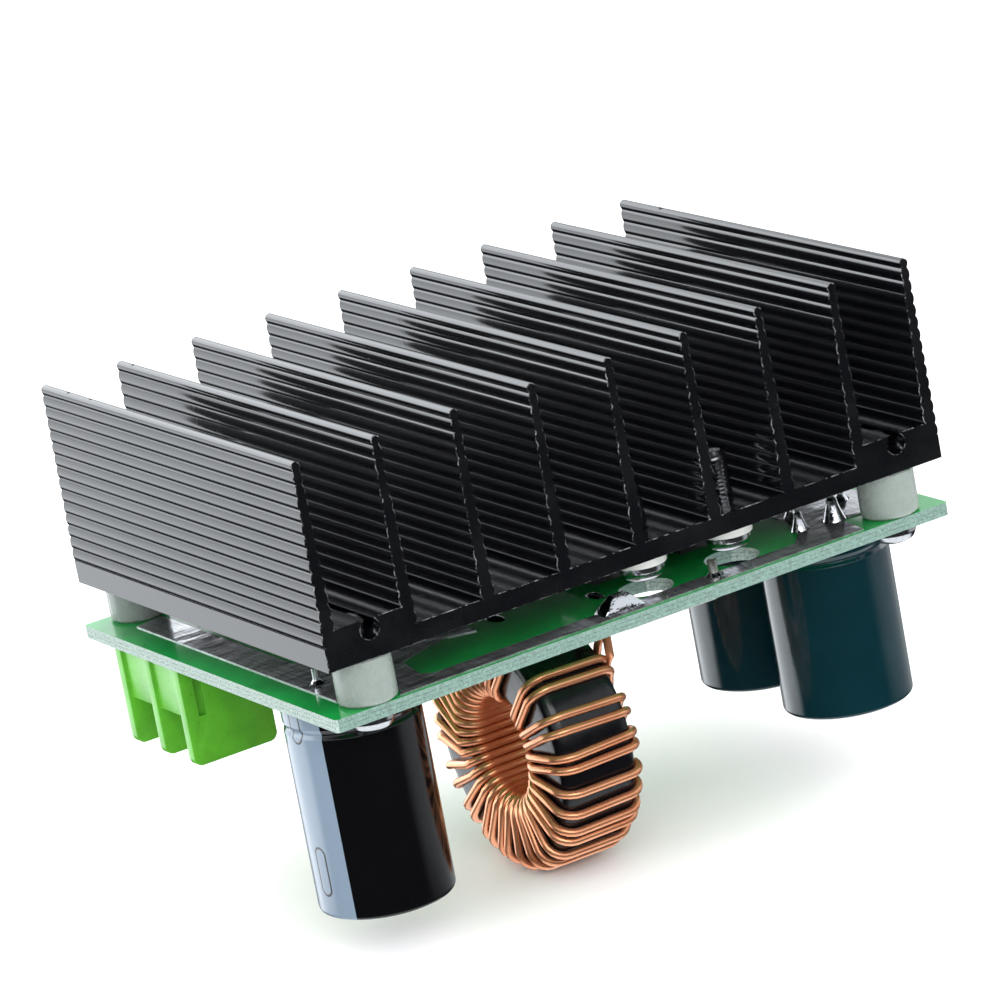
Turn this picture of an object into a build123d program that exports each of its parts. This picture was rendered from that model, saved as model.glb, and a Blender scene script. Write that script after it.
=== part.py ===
from build123d import *
import os
from math import cos, pi, radians, sin

# Boost converter module. Millimetres. The origin is the middle of the corner screw pattern on the
# board's component face, +X runs across the fins, +Y along them and +Z points at the heatsink.

# Heatsink
FIN_COUNT = 9
FIN_PITCH = 10.6
FIN_ROOT_T = 1.75
FIN_TIP_T = 1.0
TIP_D = 1.2
SINK_L = 64.2
SINK_H = 25.4
SINK_SHIFT_Y = -0.75
BASE_T = 2.4
THICK_BASE_T = 4.8
RIB_PITCH = 1.5
RIB_H = 0.22
PLAIN_STRIP_H = 2.9
PORT_D = 2.6
PORT_DEPTH = 1.2
THREAD_GAP = 0.05

# Board
BOARD_X = 86.8
BOARD_MARGIN_Y = 0.4
BOARD_T = 1.6
BOARD_CORNER_R = 0.6
SCREW_EDGE_Y = 3.1
SCREW_HOLE_D = 3.2
ACCESS_HOLE_D = 6.8
LEAD_HOLE_GAP = 0.1

# Solder: joints on leads, a long pyramid, two tall cones (x, y, radius, height) and pins left standing
SOLDER_H = 1.4
LOW_SOLDER_H = 0.8
SOLDER_SPREAD = 0.75
SOLDER_TIP = 0.2
PYRAMID_SIZE = (6.0, 2.6, 2.0)
PYRAMID_TIP = 0.25
TALL_CONES = ((27.1, -24.0, 1.3, 2.4), (31.7, -24.7, 1.8, 3.0))
STANDING_PIN_H = 2.0

# Tinned tracks: outlines seen from the solder side
TRACK_T = 0.15
TRACK_EDGE = 0.7
TRACK_GAP = 0.2
GROUND_TRACK = ((-39.9, 24.5), (-35.9, 25.4), (-35.9, -8.6), (-16.5, -8.6), (-16.5, -19.3), (-19.8, -17.9),
                (-22.6, -18.8), (-27.9, -21.0), (-28.9, -27.1), (-27.7, -28.4), (23.4, -28.4), (26.2, -25.0),
                (28.0, -18.8), (28.0, -10.0), (39.9, -10.0), (39.9, -26.6), (32.0, -25.6), (31.3, -32.0),
                (-35.0, -32.0), (-39.9, -26.4))
OUTPUT_TRACK = ((35.9, 25.4), (39.9, 24.5), (39.9, 2.0), (28.0, 2.0), (28.0, 6.5), (35.9, 6.5))

# Spacers and screws
SPACER_H = 5.8
SPACER_D = 7.2
SCREW_D = 3.0
SCREW_HEAD_D = 5.6
SCREW_HEAD_H = 2.0
SCREW_HEAD_SHARES = ((0.55, 1.0), (0.9, 0.7), (1.0, 0.35), (1.0, 0))
SCREW_SLOT_SHARE = 0.55
SCREW_SLOT_W = 0.8
SCREW_SLOT_DEPTH = 0.9
CORNER_SCREW_L = 12.0
CLAMP_SCREW_L = 10.4

# Power devices, lying flat under the heatsink
CLAMP_CHANNELS = (0, 1)
CLAMP_OFFSET_X = (-1.2, 0.6)
CLAMP_EDGE_Y = 8.0
PAD_T = 0.3
PAD_MARGIN = 1.0
TAB_T = 1.3
TAB_W = 10.0
TAB_HOLE_TO_END = 2.8
TAB_HOLE_TO_BODY = 3.6
TAB_HOLE_D = 3.8
BODY_L = 9.2
BODY_T = 3.2
BODY_TAPER = 0.3
LEG_PITCH = 2.54
LEG_W = 0.8
LEG_T = 0.5
LEG_REACH = 3.2
LEG_SET_DOWN = 0.6
BUSH_FLANGE_D = 6.2
BUSH_FLANGE_T = 1.0
BUSH_TUBE_D = 3.6
BUSH_BORE_D = 3.2

# Inductor
CORE_OD = 30.0
CORE_ID = 14.1
CORE_H = 10.4
CORE_EDGE = 1.8
WIRE_D = 1.05
WIRE_SIDES = 6
WIRE_GAP = 0.03
TURN_COUNT = 17
STRANDS = 2
WINDING_GAP_DEG = 39.0
WINDING_START_DEG = 108.0
RIM_PAIR_DEG = 6.5
LEAD_LEAN_DEG = 9.5
WIRE_BEND = 1.6
CORE_X = -6.9
CORE_Y = -11.1
CORE_BOARD_GAP = 0.25

# Capacitors: name, centre from the board's middle, diameter, length, direction of the row of leads
CAPACITORS = (
    ("input_capacitor", -34.1, -18.0, 16.6, 26.3, 0),
    ("output_capacitor_1", 33.0, -18.7, 16.25, 23.0, 0),
    ("output_capacitor_2", 33.0, 0.3, 16.25, 23.0, 0),
)
CAN_BEAD_Z = 3.0
CAN_BEAD_DEPTH = 0.35
CAN_BEAD_H = 1.2
CAN_LIP = 1.1
CAN_END_INSET = 0.3
CAN_END_SINK = 0.05
CAN_SHOULDER = 0.6
VENT_W = 0.4
VENT_DEPTH = 0.1
VENT_SHARE = 0.55
BUNG_H = 1.6
BUNG_MARGIN = 1.3
CAP_LEAD_D = 0.8
CAP_LEAD_PITCH = 7.5

# Barrier terminals
TERMINAL_WAYS = 2
TERMINAL_PITCH = 7.62
TERMINAL_L = 11.6
TERMINAL_H = 12.7
TERMINAL_LEDGE_H = 6.6
TERMINAL_WALL_T = 1.5
TERMINAL_RECESS = 0.5
TERMINAL_EDGE_GAP = 0.4
TERMINAL_Y = 17.12
TERMINAL_CORNER_R = 1.1
TERMINAL_GROOVE_W = 1.0
TERMINAL_GROOVE_DEPTH = 0.6
TERMINAL_GROOVE_INSET = 1.8
CONTACT_T = 0.8
CONTACT_GAP = 0.3
CONTACT_PIN_W = 1.2
CONTACT_INSET = 2.8
CONTACT_PIN_X = 4.3
TERMINAL_SCREW_X = 1.0
TERMINAL_SCREW_D = 3.0
TERMINAL_SCREW_L = 4.0
TERMINAL_SCREW_HEAD_D = 5.0
TERMINAL_SCREW_HEAD_H = 1.8

# Trimmer
TRIMMER_X = 10.0
TRIMMER_Y = 26.5
TRIMMER_L = 9.5
TRIMMER_W = 4.8
TRIMMER_H = 10.0
TRIMMER_EDGE = 0.4
TRIMMER_SLOT_W = 0.5
TRIMMER_SLOT_DEPTH = 0.6
TRIMMER_SCREW_D = 2.2
TRIMMER_SCREW_INSET = 1.3
TRIMMER_SCREW_DEPTH = 2.0
TRIMMER_SCREW_PROUD = 0.4
TRIMMER_RUN_GAP = 0.05
TRIMMER_PIN_D = 0.5
TRIMMER_PIN_PITCH = 2.54

# Small parts
CHIP_X = 6.0
CHIP_Y = 11.0
CHIP_L = 8.6
CHIP_W = 3.9
CHIP_T = 1.5
CHIP_STANDOFF = 0.1
CHIP_LEG_PITCH = 1.27
CHIP_LEGS_A_SIDE = 7
CHIP_LEG_REACH = 1.05
CHIP_LEG_W = 0.42
CHIP_LEG_T = 0.2
CHIP_EDGE = 0.3
CERAMIC_SIZE = (3.2, 1.6, 1.3)
CERAMIC_SPOTS = ((-14.0, 12.0), (-14.0, 16.0), (19.0, 12.0))
RESISTOR_SIZE = (2.0, 1.25, 0.5)
RESISTOR_SPOTS = ((-2.0, 18.0), (2.0, 18.0), (6.0, 18.0), (15.0, 17.0))
SHUNT_D = 1.2
SHUNT_SPAN = 13.4
SHUNT_X = 4.5
SHUNT_EDGE_Y = 3.2
SHUNT_BEND_R = 0.65

# Levels and places that follow
BOARD_Y = SINK_L + BOARD_MARGIN_Y
SCREW_ROW_Y = SINK_L / 2 - SCREW_EDGE_Y
SHUNT_Y = SHUNT_EDGE_Y - BOARD_Y / 2
SINK_Z = BOARD_T + SPACER_H
SINK_TOP = SINK_Z + SINK_H
SINK_HALF_X = (FIN_COUNT - 1) * FIN_PITCH / 2 + FIN_ROOT_T / 2
SINK_Y0 = SINK_SHIFT_Y - SINK_L / 2
SCREW_X = (FIN_COUNT - 2) * FIN_PITCH / 2
CLAMP_Y = SINK_Y0 + CLAMP_EDGE_Y
CLAMP_XS = [(channel + 0.5) * FIN_PITCH + shift for channel, shift in zip(CLAMP_CHANNELS, CLAMP_OFFSET_X)]
TAB_Z = SINK_Z - PAD_T - TAB_T
BUSH_Z = TAB_Z - BUSH_FLANGE_T
LEG_Z = TAB_Z - LEG_SET_DOWN
BODY_END_Y = CLAMP_Y + TAB_HOLE_TO_BODY + BODY_L
LEG_Y = BODY_END_Y + LEG_REACH
WIRE_R = WIRE_D / 2
BORE_R = CORE_ID / 2 - WIRE_R - WIRE_GAP
RIM_R = CORE_OD / 2 + WIRE_R + WIRE_GAP
FACE_A = CORE_H / 2 + WIRE_R + WIRE_GAP
CORE_Z = -(RIM_R + WIRE_R + CORE_BOARD_GAP)
TERMINAL_X = BOARD_X / 2 - TERMINAL_EDGE_GAP - TERMINAL_L / 2
STRAND_STEP = (360 - WINDING_GAP_DEG) / (TURN_COUNT * STRANDS)


def box_at(x0, x1, y0, y1, z0, z1):
    return Pos((x0 + x1) / 2, (y0 + y1) / 2, (z0 + z1) / 2) * Box(abs(x1 - x0), abs(y1 - y0), abs(z1 - z0))


def rod(x, y, z0, z1, diameter):
    return Pos(x, y, (z0 + z1) / 2) * Cylinder(diameter / 2, abs(z1 - z0))


def turned(outline, x, y):
    """Turns an outline of (radius, height) points about a vertical line."""
    face = make_face(Polyline(*[(r, 0, z) for r, z in outline], close=True))
    return Pos(x, y, 0) * revolve(face, Axis.Z)


def corner_spots():
    return [(sx * SCREW_X, sy * SCREW_ROW_Y) for sx in (-1, 1) for sy in (-1, 1)]


# Heatsink


def fin_half_t(z):
    """Half the fin's thickness in the valleys between its ribs, tapering towards the tip."""
    share = (z - BASE_T) / (SINK_H - BASE_T)
    return ((1 - share) * FIN_ROOT_T + share * FIN_TIP_T) / 2 - RIB_H / 2


def fin_side(x, side, z_low):
    """Points up one face of a fin: valley, crest, valley and so on, with a valley at both ends."""
    z_high = SINK_H - TIP_D
    count = int((z_high - z_low) / RIB_PITCH)
    step = (z_high - z_low) / count
    points = []
    for rib in range(count):
        z = z_low + rib * step
        points.append((x + side * fin_half_t(z), z))
        points.append((x + side * (fin_half_t(z + step / 2) + RIB_H), z + step / 2))
    points.append((x + side * fin_half_t(z_high), z_high))
    return points


def floor_z(channel):
    """Height of the base between two fins: thick in the outermost channels, thin elsewhere."""
    return THICK_BASE_T if channel in (0, FIN_COUNT - 2) else BASE_T


def heatsink_profile():
    """The extrusion's section: base, screw port zones and rippled fins with round tips."""
    edges = []
    here = (-SINK_HALF_X, 0)

    def line_to(point):
        nonlocal here
        edges.append(Line((here[0], 0, here[1]), (point[0], 0, point[1])))
        here = point

    def arc_to(middle, point):
        nonlocal here
        edges.append(ThreePointArc((here[0], 0, here[1]), (middle[0], 0, middle[1]), (point[0], 0, point[1])))
        here = point

    def ribs_to(points):
        line_to(points[0])
        for crest, valley in zip(points[1::2], points[2::2]):
            arc_to(crest, valley)

    for fin in range(FIN_COUNT):
        x = (fin - (FIN_COUNT - 1) / 2) * FIN_PITCH
        left_z = PLAIN_STRIP_H if fin == 0 else floor_z(fin - 1)
        right_z = PLAIN_STRIP_H if fin == FIN_COUNT - 1 else floor_z(fin)
        if fin == 0:
            line_to((-SINK_HALF_X, PLAIN_STRIP_H))
        ribs_to(fin_side(x, -1, left_z))
        line_to((x - TIP_D / 2, SINK_H - TIP_D / 2))
        arc_to((x, SINK_H), (x + TIP_D / 2, SINK_H - TIP_D / 2))
        ribs_to(fin_side(x, 1, right_z)[::-1])
    line_to((SINK_HALF_X, PLAIN_STRIP_H))
    line_to((SINK_HALF_X, 0))
    line_to((-SINK_HALF_X, 0))
    return make_face(edges)


def heatsink():
    body = extrude(heatsink_profile(), SINK_L, dir=(0, 1, 0))
    port_z = THICK_BASE_T - PORT_DEPTH
    for side in (-1, 1):
        port = Rot(90, 0, 0) * Cylinder(PORT_D / 2, SINK_L + 2)
        body -= Pos(side * SCREW_X, SINK_L / 2, port_z) * port
    body = Pos(0, SINK_Y0, SINK_Z) * body
    for x, y in corner_spots():
        body -= rod(x, y, SINK_Z - 1, SINK_Z + THICK_BASE_T + 1, SCREW_D + 2 * THREAD_GAP)
    for x in CLAMP_XS:
        body -= rod(x, CLAMP_Y, SINK_Z - 1, SINK_Z + BASE_T + 1, SCREW_D + 2 * THREAD_GAP)
    return body


# Board


def terminal_sides():
    return (("input_terminal", -1), ("output_terminal", 1))


def terminal_ways():
    """Middle of each way, from the terminal's own middle."""
    return [(way - (TERMINAL_WAYS - 1) / 2) * TERMINAL_PITCH for way in range(TERMINAL_WAYS)]


def terminal_pins(side):
    return [(side * (TERMINAL_X - CONTACT_PIN_X), TERMINAL_Y + y) for y in terminal_ways()]


def capacitor_leads(x, y, direction):
    step = Vector(CAP_LEAD_PITCH / 2, 0).rotate(Axis.Z, direction)
    return [(x - step.X, y - step.Y), (x + step.X, y + step.Y)]


def bore_angle(turn, strand):
    """Where a strand passes the core's bore at the start of a turn."""
    return WINDING_START_DEG - (turn * STRANDS + strand) * STRAND_STEP


def winding_ends():
    """The start on the core's -X face and the finish on its +X face: side, angles of the strands."""
    return ((-1, [bore_angle(0, strand) for strand in range(STRANDS)]),
            (1, [bore_angle(TURN_COUNT, strand) for strand in range(STRANDS)]))


def lead_rim_angle(side, degrees):
    """Where an end of a strand leaves the core's face, leaning as the turns beside it do."""
    return degrees - side * LEAD_LEAN_DEG


def winding_slots():
    """Where each end of the winding passes the board: the middle and length of its row of strands."""
    slots = []
    for side, angles in winding_ends():
        ys = [on_core(RIM_R, 0, lead_rim_angle(side, a)).Y for a in angles]
        slots.append((CORE_X + side * FACE_A, (max(ys) + min(ys)) / 2, max(ys) - min(ys) + WIRE_D))
    return slots


def trimmer_pin_spots():
    return [(TRIMMER_X + way * TRIMMER_PIN_PITCH, TRIMMER_Y) for way in (-1, 0, 1)]


def shunt_ends():
    return [(SHUNT_X + side * SHUNT_SPAN / 2, SHUNT_Y) for side in (-1, 1)]


def round_leads():
    """Each round lead that comes up from the component side: its place and diameter."""
    leads = []
    for _, x, y, _, _, direction in CAPACITORS:
        leads += [(lx, ly, CAP_LEAD_D) for lx, ly in capacitor_leads(x, y, direction)]
    leads += [(x, y, TRIMMER_PIN_D) for x, y in trimmer_pin_spots()]
    leads += [(x, y, SHUNT_D) for x, y in shunt_ends()]
    return leads


def device_legs():
    return [(x + way * LEG_PITCH, LEG_Y) for x in CLAMP_XS for way in (-1, 0, 1)]


def square_leads():
    """Each square leg or pin: its place and width."""
    leads = [(x, y, LEG_W) for x, y in device_legs()]
    for _, side in terminal_sides():
        leads += [(x, y, CONTACT_PIN_W) for x, y in terminal_pins(side)]
    return leads


def circuit_board():
    outline = RectangleRounded(BOARD_X, BOARD_Y, BOARD_CORNER_R)
    for x, y in corner_spots():
        outline -= Pos(x, y) * Circle(SCREW_HOLE_D / 2)
    for x in CLAMP_XS:
        outline -= Pos(x, CLAMP_Y) * Circle(ACCESS_HOLE_D / 2)
    for x, y, d in round_leads():
        outline -= Pos(x, y) * Circle(d / 2 + LEAD_HOLE_GAP)
    for x, y, w in square_leads():
        outline -= Pos(x, y) * Rectangle(w + 2 * LEAD_HOLE_GAP, w + 2 * LEAD_HOLE_GAP)
    for x, y, length in winding_slots():
        outline -= Pos(x, y) * Rectangle(WIRE_D + 2 * LEAD_HOLE_GAP, length + 2 * LEAD_HOLE_GAP)
    return extrude(outline, BOARD_T)


# Solder and tinned tracks


def standing_leads():
    """The leads that were left long: the input capacitor's outer one and the shunt's +X end."""
    _, x, y, _, _, direction = CAPACITORS[0]
    return [capacitor_leads(x, y, direction)[0], shunt_ends()[1]]


def lead_top(x, y):
    return BOARD_T + (STANDING_PIN_H if (x, y) in standing_leads() else 0)


def joint_spots():
    """Six-sided joints on the solder side: place, radius of the root, height, pin that stands out."""
    spots = []
    for x, y, d in round_leads():
        if (x, y) in standing_leads():
            spots.append((x, y, d / 2 + SOLDER_SPREAD, LOW_SOLDER_H, d))
        elif (x, y) != shunt_ends()[0]:
            spots.append((x, y, d / 2 + SOLDER_SPREAD, SOLDER_H, 0))
    for _, side in terminal_sides():
        spots += [(x, y, CONTACT_PIN_W / 2 + SOLDER_SPREAD, SOLDER_H, 0) for x, y in terminal_pins(side)]
    spots += [(x, y, length / 2 + SOLDER_SPREAD, LOW_SOLDER_H, 0) for x, y, length in winding_slots()]
    spots += [(x, y, radius, height, 0) for x, y, radius, height in TALL_CONES]
    return spots


def pyramid_root():
    """The root of the long joint on the shunt's -X end."""
    x, y = shunt_ends()[0]
    return Pos(x, y) * Rectangle(*PYRAMID_SIZE[:2])


def joint(radius, height):
    """A six-sided cap of solder that closes over the end of its lead."""
    root = RegularPolygon(radius, 6)
    top = RegularPolygon(SOLDER_TIP + radius / 4, 6)
    return loft([root, Pos(0, 0, height) * top])


def solder_joints():
    joints = []
    for x, y, radius, height, pin_d in joint_spots():
        cap = joint(radius, height)
        if pin_d:
            cap -= Cylinder(pin_d / 2, 3 * height)
        joints.append(Pos(x, y, BOARD_T) * cap)
    x, y = shunt_ends()[0]
    length, width, height = PYRAMID_SIZE
    ridge = Pos(x, y, height) * Rectangle(length * PYRAMID_TIP, width * PYRAMID_TIP)
    joints.append(Pos(0, 0, BOARD_T) * loft([pyramid_root(), ridge]))
    joints += [Pos(x, y, 0) * Rot(180, 0, 0) * joint(LEG_W / 2 + SOLDER_SPREAD, SOLDER_H)
               for x, y in device_legs()]
    return joints


def track(points):
    """One tinned area, kept clear of the board's edge, the spacers, the holes and the joints."""
    area = make_face(Polyline(*points, close=True))
    area &= Rectangle(BOARD_X - 2 * TRACK_EDGE, BOARD_Y - 2 * TRACK_EDGE)
    for x, y in corner_spots():
        area -= Pos(x, y) * Circle(SPACER_D / 2 + TRACK_GAP)
    for x in CLAMP_XS:
        area -= Pos(x, CLAMP_Y) * Circle(ACCESS_HOLE_D / 2 + TRACK_GAP)
    for x, y, radius, _, _ in joint_spots():
        area -= Pos(x, y) * RegularPolygon(radius, 6)
    area -= pyramid_root()
    for x, y in device_legs():
        area -= Pos(x, y) * Circle(LEG_W + TRACK_GAP)
    return Pos(0, 0, BOARD_T) * extrude(area, TRACK_T)


def tinned_tracks():
    """The ground track round the near corners and the output track on the far side."""
    return [track(GROUND_TRACK), track(OUTPUT_TRACK)]


# Spacers and screws


def spacer(x, y):
    ring = Circle(SPACER_D / 2) - Circle(SCREW_HOLE_D / 2)
    return Pos(x, y, BOARD_T) * extrude(ring, SPACER_H)


def pan_screw(x, y, z, length, diameter, head_d, head_h):
    """A pan head screw pointing up, its head's seat at height z, with a cross recess from below."""
    outline = [(0, -head_h)]
    outline += [(head_d / 2 * across, -head_h * down) for across, down in SCREW_HEAD_SHARES]
    outline += [(diameter / 2, 0), (diameter / 2, length), (0, length)]
    head = turned(outline, 0, 0)
    reach = head_d * SCREW_SLOT_SHARE
    for w, l in ((SCREW_SLOT_W, reach), (reach, SCREW_SLOT_W)):
        head -= Pos(0, 0, -head_h + SCREW_SLOT_DEPTH / 2) * Box(w, l, SCREW_SLOT_DEPTH)
    return Pos(x, y, z) * head


def corner_screws():
    return [pan_screw(x, y, 0, CORNER_SCREW_L, SCREW_D, SCREW_HEAD_D, SCREW_HEAD_H)
            for x, y in corner_spots()]


def clamp_screw(x):
    return pan_screw(x, CLAMP_Y, BUSH_Z, CLAMP_SCREW_L, SCREW_D, SCREW_HEAD_D, SCREW_HEAD_H)


# Power devices


def device_pad(x):
    y0 = CLAMP_Y - TAB_HOLE_TO_END - PAD_MARGIN
    half = TAB_W / 2 + PAD_MARGIN / 4
    pad = box_at(x - half, x + half, y0, BODY_END_Y + PAD_MARGIN, SINK_Z - PAD_T, SINK_Z)
    return pad - rod(x, CLAMP_Y, SINK_Z - PAD_T - 1, SINK_Z + 1, TAB_HOLE_D)


def device_frame(x):
    """The metal tab and the three legs, bent down through the board."""
    tab = box_at(x - TAB_W / 2, x + TAB_W / 2, CLAMP_Y - TAB_HOLE_TO_END, BODY_END_Y, TAB_Z, TAB_Z + TAB_T)
    tab -= rod(x, CLAMP_Y, TAB_Z - 1, TAB_Z + TAB_T + 1, TAB_HOLE_D)
    legs = []
    for way in (-1, 0, 1):
        x0 = x + way * LEG_PITCH - LEG_W / 2
        x1 = x0 + LEG_W
        flat = box_at(x0, x1, BODY_END_Y, LEG_Y + LEG_T / 2, LEG_Z - LEG_T, LEG_Z)
        down = box_at(x0, x1, LEG_Y - LEG_T / 2, LEG_Y + LEG_T / 2, 0, LEG_Z - LEG_T)
        legs.append(flat + down)
    return [tab] + legs


def device_body(x):
    """The moulded body under the tab, narrower towards the board."""
    top = Rectangle(TAB_W, BODY_L)
    low = Rectangle(TAB_W - 2 * BODY_TAPER, BODY_L - 2 * BODY_TAPER)
    body = loft([low, Pos(0, 0, BODY_T) * top])
    return Pos(x, BODY_END_Y - BODY_L / 2, TAB_Z - BODY_T) * body


def device_bush(x):
    flange = rod(x, CLAMP_Y, BUSH_Z, TAB_Z, BUSH_FLANGE_D)
    tube = rod(x, CLAMP_Y, TAB_Z, TAB_Z + TAB_T, BUSH_TUBE_D)
    return flange + tube - rod(x, CLAMP_Y, BUSH_Z - 1, TAB_Z + TAB_T + 1, BUSH_BORE_D)


# Inductor


def inductor_core():
    inner, outer, half = CORE_ID / 2, CORE_OD / 2, CORE_H / 2
    e = CORE_EDGE
    outline = ((inner, half - e), (inner + e, half), (outer - e, half), (outer, half - e),
               (outer, e - half), (outer - e, -half), (inner + e, -half), (inner, e - half))
    return Pos(CORE_X, CORE_Y, CORE_Z) * Rot(0, 90, 0) * turned(outline, 0, 0)


def on_core(r, a, degrees):
    """A point beside the core from its radius, its place along the axis and its angle."""
    angle = radians(degrees)
    return Vector(CORE_X + a, CORE_Y + r * cos(angle), CORE_Z + r * sin(angle))


def round_the_core(degrees):
    """The direction round the core at an angle."""
    return Vector(0, -sin(radians(degrees)), cos(radians(degrees)))


def wire_along(points, degrees):
    """A six-sided wire with mitred bends: its corners run straight from each bend's plane to the next."""
    steps = [(b - a).normalized() for a, b in zip(points, points[1:])]
    across = round_the_core(degrees)
    outward = steps[0].cross(across)
    turns = [radians(360 * side / WIRE_SIDES) for side in range(WIRE_SIDES)]
    corners = [points[0] + (across * cos(a) + outward * sin(a)) * WIRE_R for a in turns]
    sections = [Wire.make_polygon(corners, close=True)]
    for here, before, after in zip(points[1:], steps, steps[1:] + steps[-1:]):
        mitre = (before + after).normalized()
        corners = [c + before * ((here - c).dot(mitre) / before.dot(mitre)) for c in corners]
        sections.append(Wire.make_polygon(corners, close=True))
    return Solid.make_loft(sections, ruled=True)


def strand_turn(turn, strand):
    """One turn of one strand, from the bore round the +X face, the rim and the -X face."""
    b = WIRE_BEND
    start, end = bore_angle(turn, strand), bore_angle(turn + 1, strand)
    middle = bore_angle(turn + 0.5, (STRANDS - 1) / 2)
    rim = middle - (strand - (STRANDS - 1) / 2) * RIM_PAIR_DEG
    route = ((BORE_R, 0, start), (BORE_R, FACE_A - b, start), (BORE_R + b, FACE_A, start),
             (RIM_R - b, FACE_A, rim), (RIM_R, FACE_A - b, rim), (RIM_R, b - FACE_A, rim),
             (RIM_R - b, -FACE_A, rim), (BORE_R + b, -FACE_A, end), (BORE_R, b - FACE_A, end),
             (BORE_R, 0, end))
    return wire_along([on_core(*spot) for spot in route], start)


def winding_lead(side, degrees):
    """One end of a strand: out of the bore, across the core's face and up into the board."""
    b = WIRE_BEND
    rim = on_core(RIM_R, side * FACE_A, lead_rim_angle(side, degrees))
    points = [on_core(BORE_R, 0, degrees), on_core(BORE_R, side * (FACE_A - b), degrees),
              on_core(BORE_R + b, side * FACE_A, degrees), rim, Vector(rim.X, rim.Y, BOARD_T)]
    return wire_along(points, degrees)


def inductor_winding():
    wires = [strand_turn(turn, strand) for turn in range(TURN_COUNT) for strand in range(STRANDS)]
    wires += [winding_lead(side, a) for side, angles in winding_ends() for a in angles]
    return wires


# Capacitors


def can(x, y, d, length):
    """A sleeved can hanging from the board: shoulder, bead groove, wall and a lip round its end."""
    r = d / 2
    neck = r - CAN_BEAD_DEPTH
    mouth = r - BUNG_MARGIN
    outline = ((mouth, -BUNG_H), (mouth, 0), (r - CAN_SHOULDER, 0), (r, -CAN_SHOULDER),
               (r, -(CAN_BEAD_Z - CAN_BEAD_H / 2)), (neck, -CAN_BEAD_Z), (r, -(CAN_BEAD_Z + CAN_BEAD_H / 2)),
               (r, -(length - CAN_SHOULDER)), (r - CAN_SHOULDER / 2, -length), (r - CAN_LIP, -length),
               (r - CAN_LIP, -(length - CAN_END_INSET)), (0, -(length - CAN_END_INSET)), (0, -BUNG_H))
    return turned(outline, x, y)


def can_end(x, y, d, length):
    """The bare metal end inside the sleeve's lip, scored with a cross so that it can vent."""
    face_z = CAN_END_SINK - length
    disc = rod(x, y, face_z, CAN_END_INSET - length, d - 2 * CAN_LIP)
    for w, l in ((VENT_W, d * VENT_SHARE), (d * VENT_SHARE, VENT_W)):
        disc -= Pos(x, y, face_z) * Box(w, l, 2 * VENT_DEPTH)
    return disc


def bung(x, y, d, direction):
    seal = rod(x, y, -BUNG_H, 0, d - 2 * BUNG_MARGIN)
    for lx, ly in capacitor_leads(x, y, direction):
        seal -= rod(lx, ly, -BUNG_H - 1, 1, CAP_LEAD_D)
    return seal


def can_leads(x, y, direction):
    return [rod(lx, ly, -BUNG_H, lead_top(lx, ly), CAP_LEAD_D) for lx, ly in capacitor_leads(x, y, direction)]


# Barrier terminals, modelled facing -X with their middle on the Y axis, then turned into place


def terminal_walls():
    half = TERMINAL_WAYS * TERMINAL_PITCH / 2
    return [way * TERMINAL_PITCH - half for way in range(TERMINAL_WAYS + 1)]


def terminal_housing():
    """Barrier walls round a stepped block, with a joining groove in one outer wall."""
    half = TERMINAL_L / 2
    wall = extrude(Plane.XZ * Pos(0, -TERMINAL_H / 2) * Rectangle(TERMINAL_L, TERMINAL_H),
                   TERMINAL_WALL_T / 2, both=True)
    low = wall.edges().filter_by(Axis.Y).group_by(Axis.Z)[0]
    wall = fillet(low, TERMINAL_CORNER_R)
    ends = terminal_walls()
    housing = box_at(TERMINAL_RECESS - half, half, ends[0], ends[-1], -TERMINAL_LEDGE_H, 0)
    for y in ends:
        housing += Pos(0, y, 0) * wall
    outer = ends[0] - TERMINAL_WALL_T / 2
    groove_x = TERMINAL_GROOVE_INSET - half
    housing -= box_at(groove_x, groove_x + TERMINAL_GROOVE_W, outer, outer + TERMINAL_GROOVE_DEPTH,
                      -TERMINAL_LEDGE_H, 0)
    for y in terminal_ways():
        housing -= pin_at(y, -TERMINAL_LEDGE_H, 0)
        housing -= rod(TERMINAL_SCREW_X, y, -TERMINAL_LEDGE_H, TERMINAL_SCREW_L - TERMINAL_LEDGE_H,
                       TERMINAL_SCREW_D + 2 * THREAD_GAP)
    return housing


def pin_at(y, z0, z1):
    half = CONTACT_PIN_W / 2
    return box_at(CONTACT_PIN_X - half, CONTACT_PIN_X + half, y - half, y + half, z0, z1)


def terminal_contacts():
    """Flat contact plates on the ledge, each with a pin down through the block and the board."""
    half_y = (TERMINAL_PITCH - TERMINAL_WALL_T) / 2 - CONTACT_GAP
    x0 = CONTACT_INSET - TERMINAL_L / 2
    x1 = CONTACT_PIN_X + CONTACT_PIN_W / 2 + CONTACT_GAP
    plates = []
    for y in terminal_ways():
        plate = box_at(x0, x1, y - half_y, y + half_y, -TERMINAL_LEDGE_H - CONTACT_T, -TERMINAL_LEDGE_H)
        plate -= rod(TERMINAL_SCREW_X, y, -TERMINAL_LEDGE_H - CONTACT_T - 1, 1 - TERMINAL_LEDGE_H,
                     TERMINAL_SCREW_D + 2 * THREAD_GAP)
        plates.append(plate + pin_at(y, -TERMINAL_LEDGE_H, BOARD_T))
    return plates


def terminal_screws():
    """Clamp screws on the contact plates, their heads away from the board."""
    seat = -TERMINAL_LEDGE_H - CONTACT_T
    return [pan_screw(TERMINAL_SCREW_X, y, seat, TERMINAL_SCREW_L, TERMINAL_SCREW_D,
                      TERMINAL_SCREW_HEAD_D, TERMINAL_SCREW_HEAD_H) for y in terminal_ways()]


def placed_terminal(shapes, side):
    turn = Rot(0, 0, 180 if side > 0 else 0)
    return [Pos(side * TERMINAL_X, TERMINAL_Y, 0) * turn * shape for shape in shapes]


# Trimmer


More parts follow.
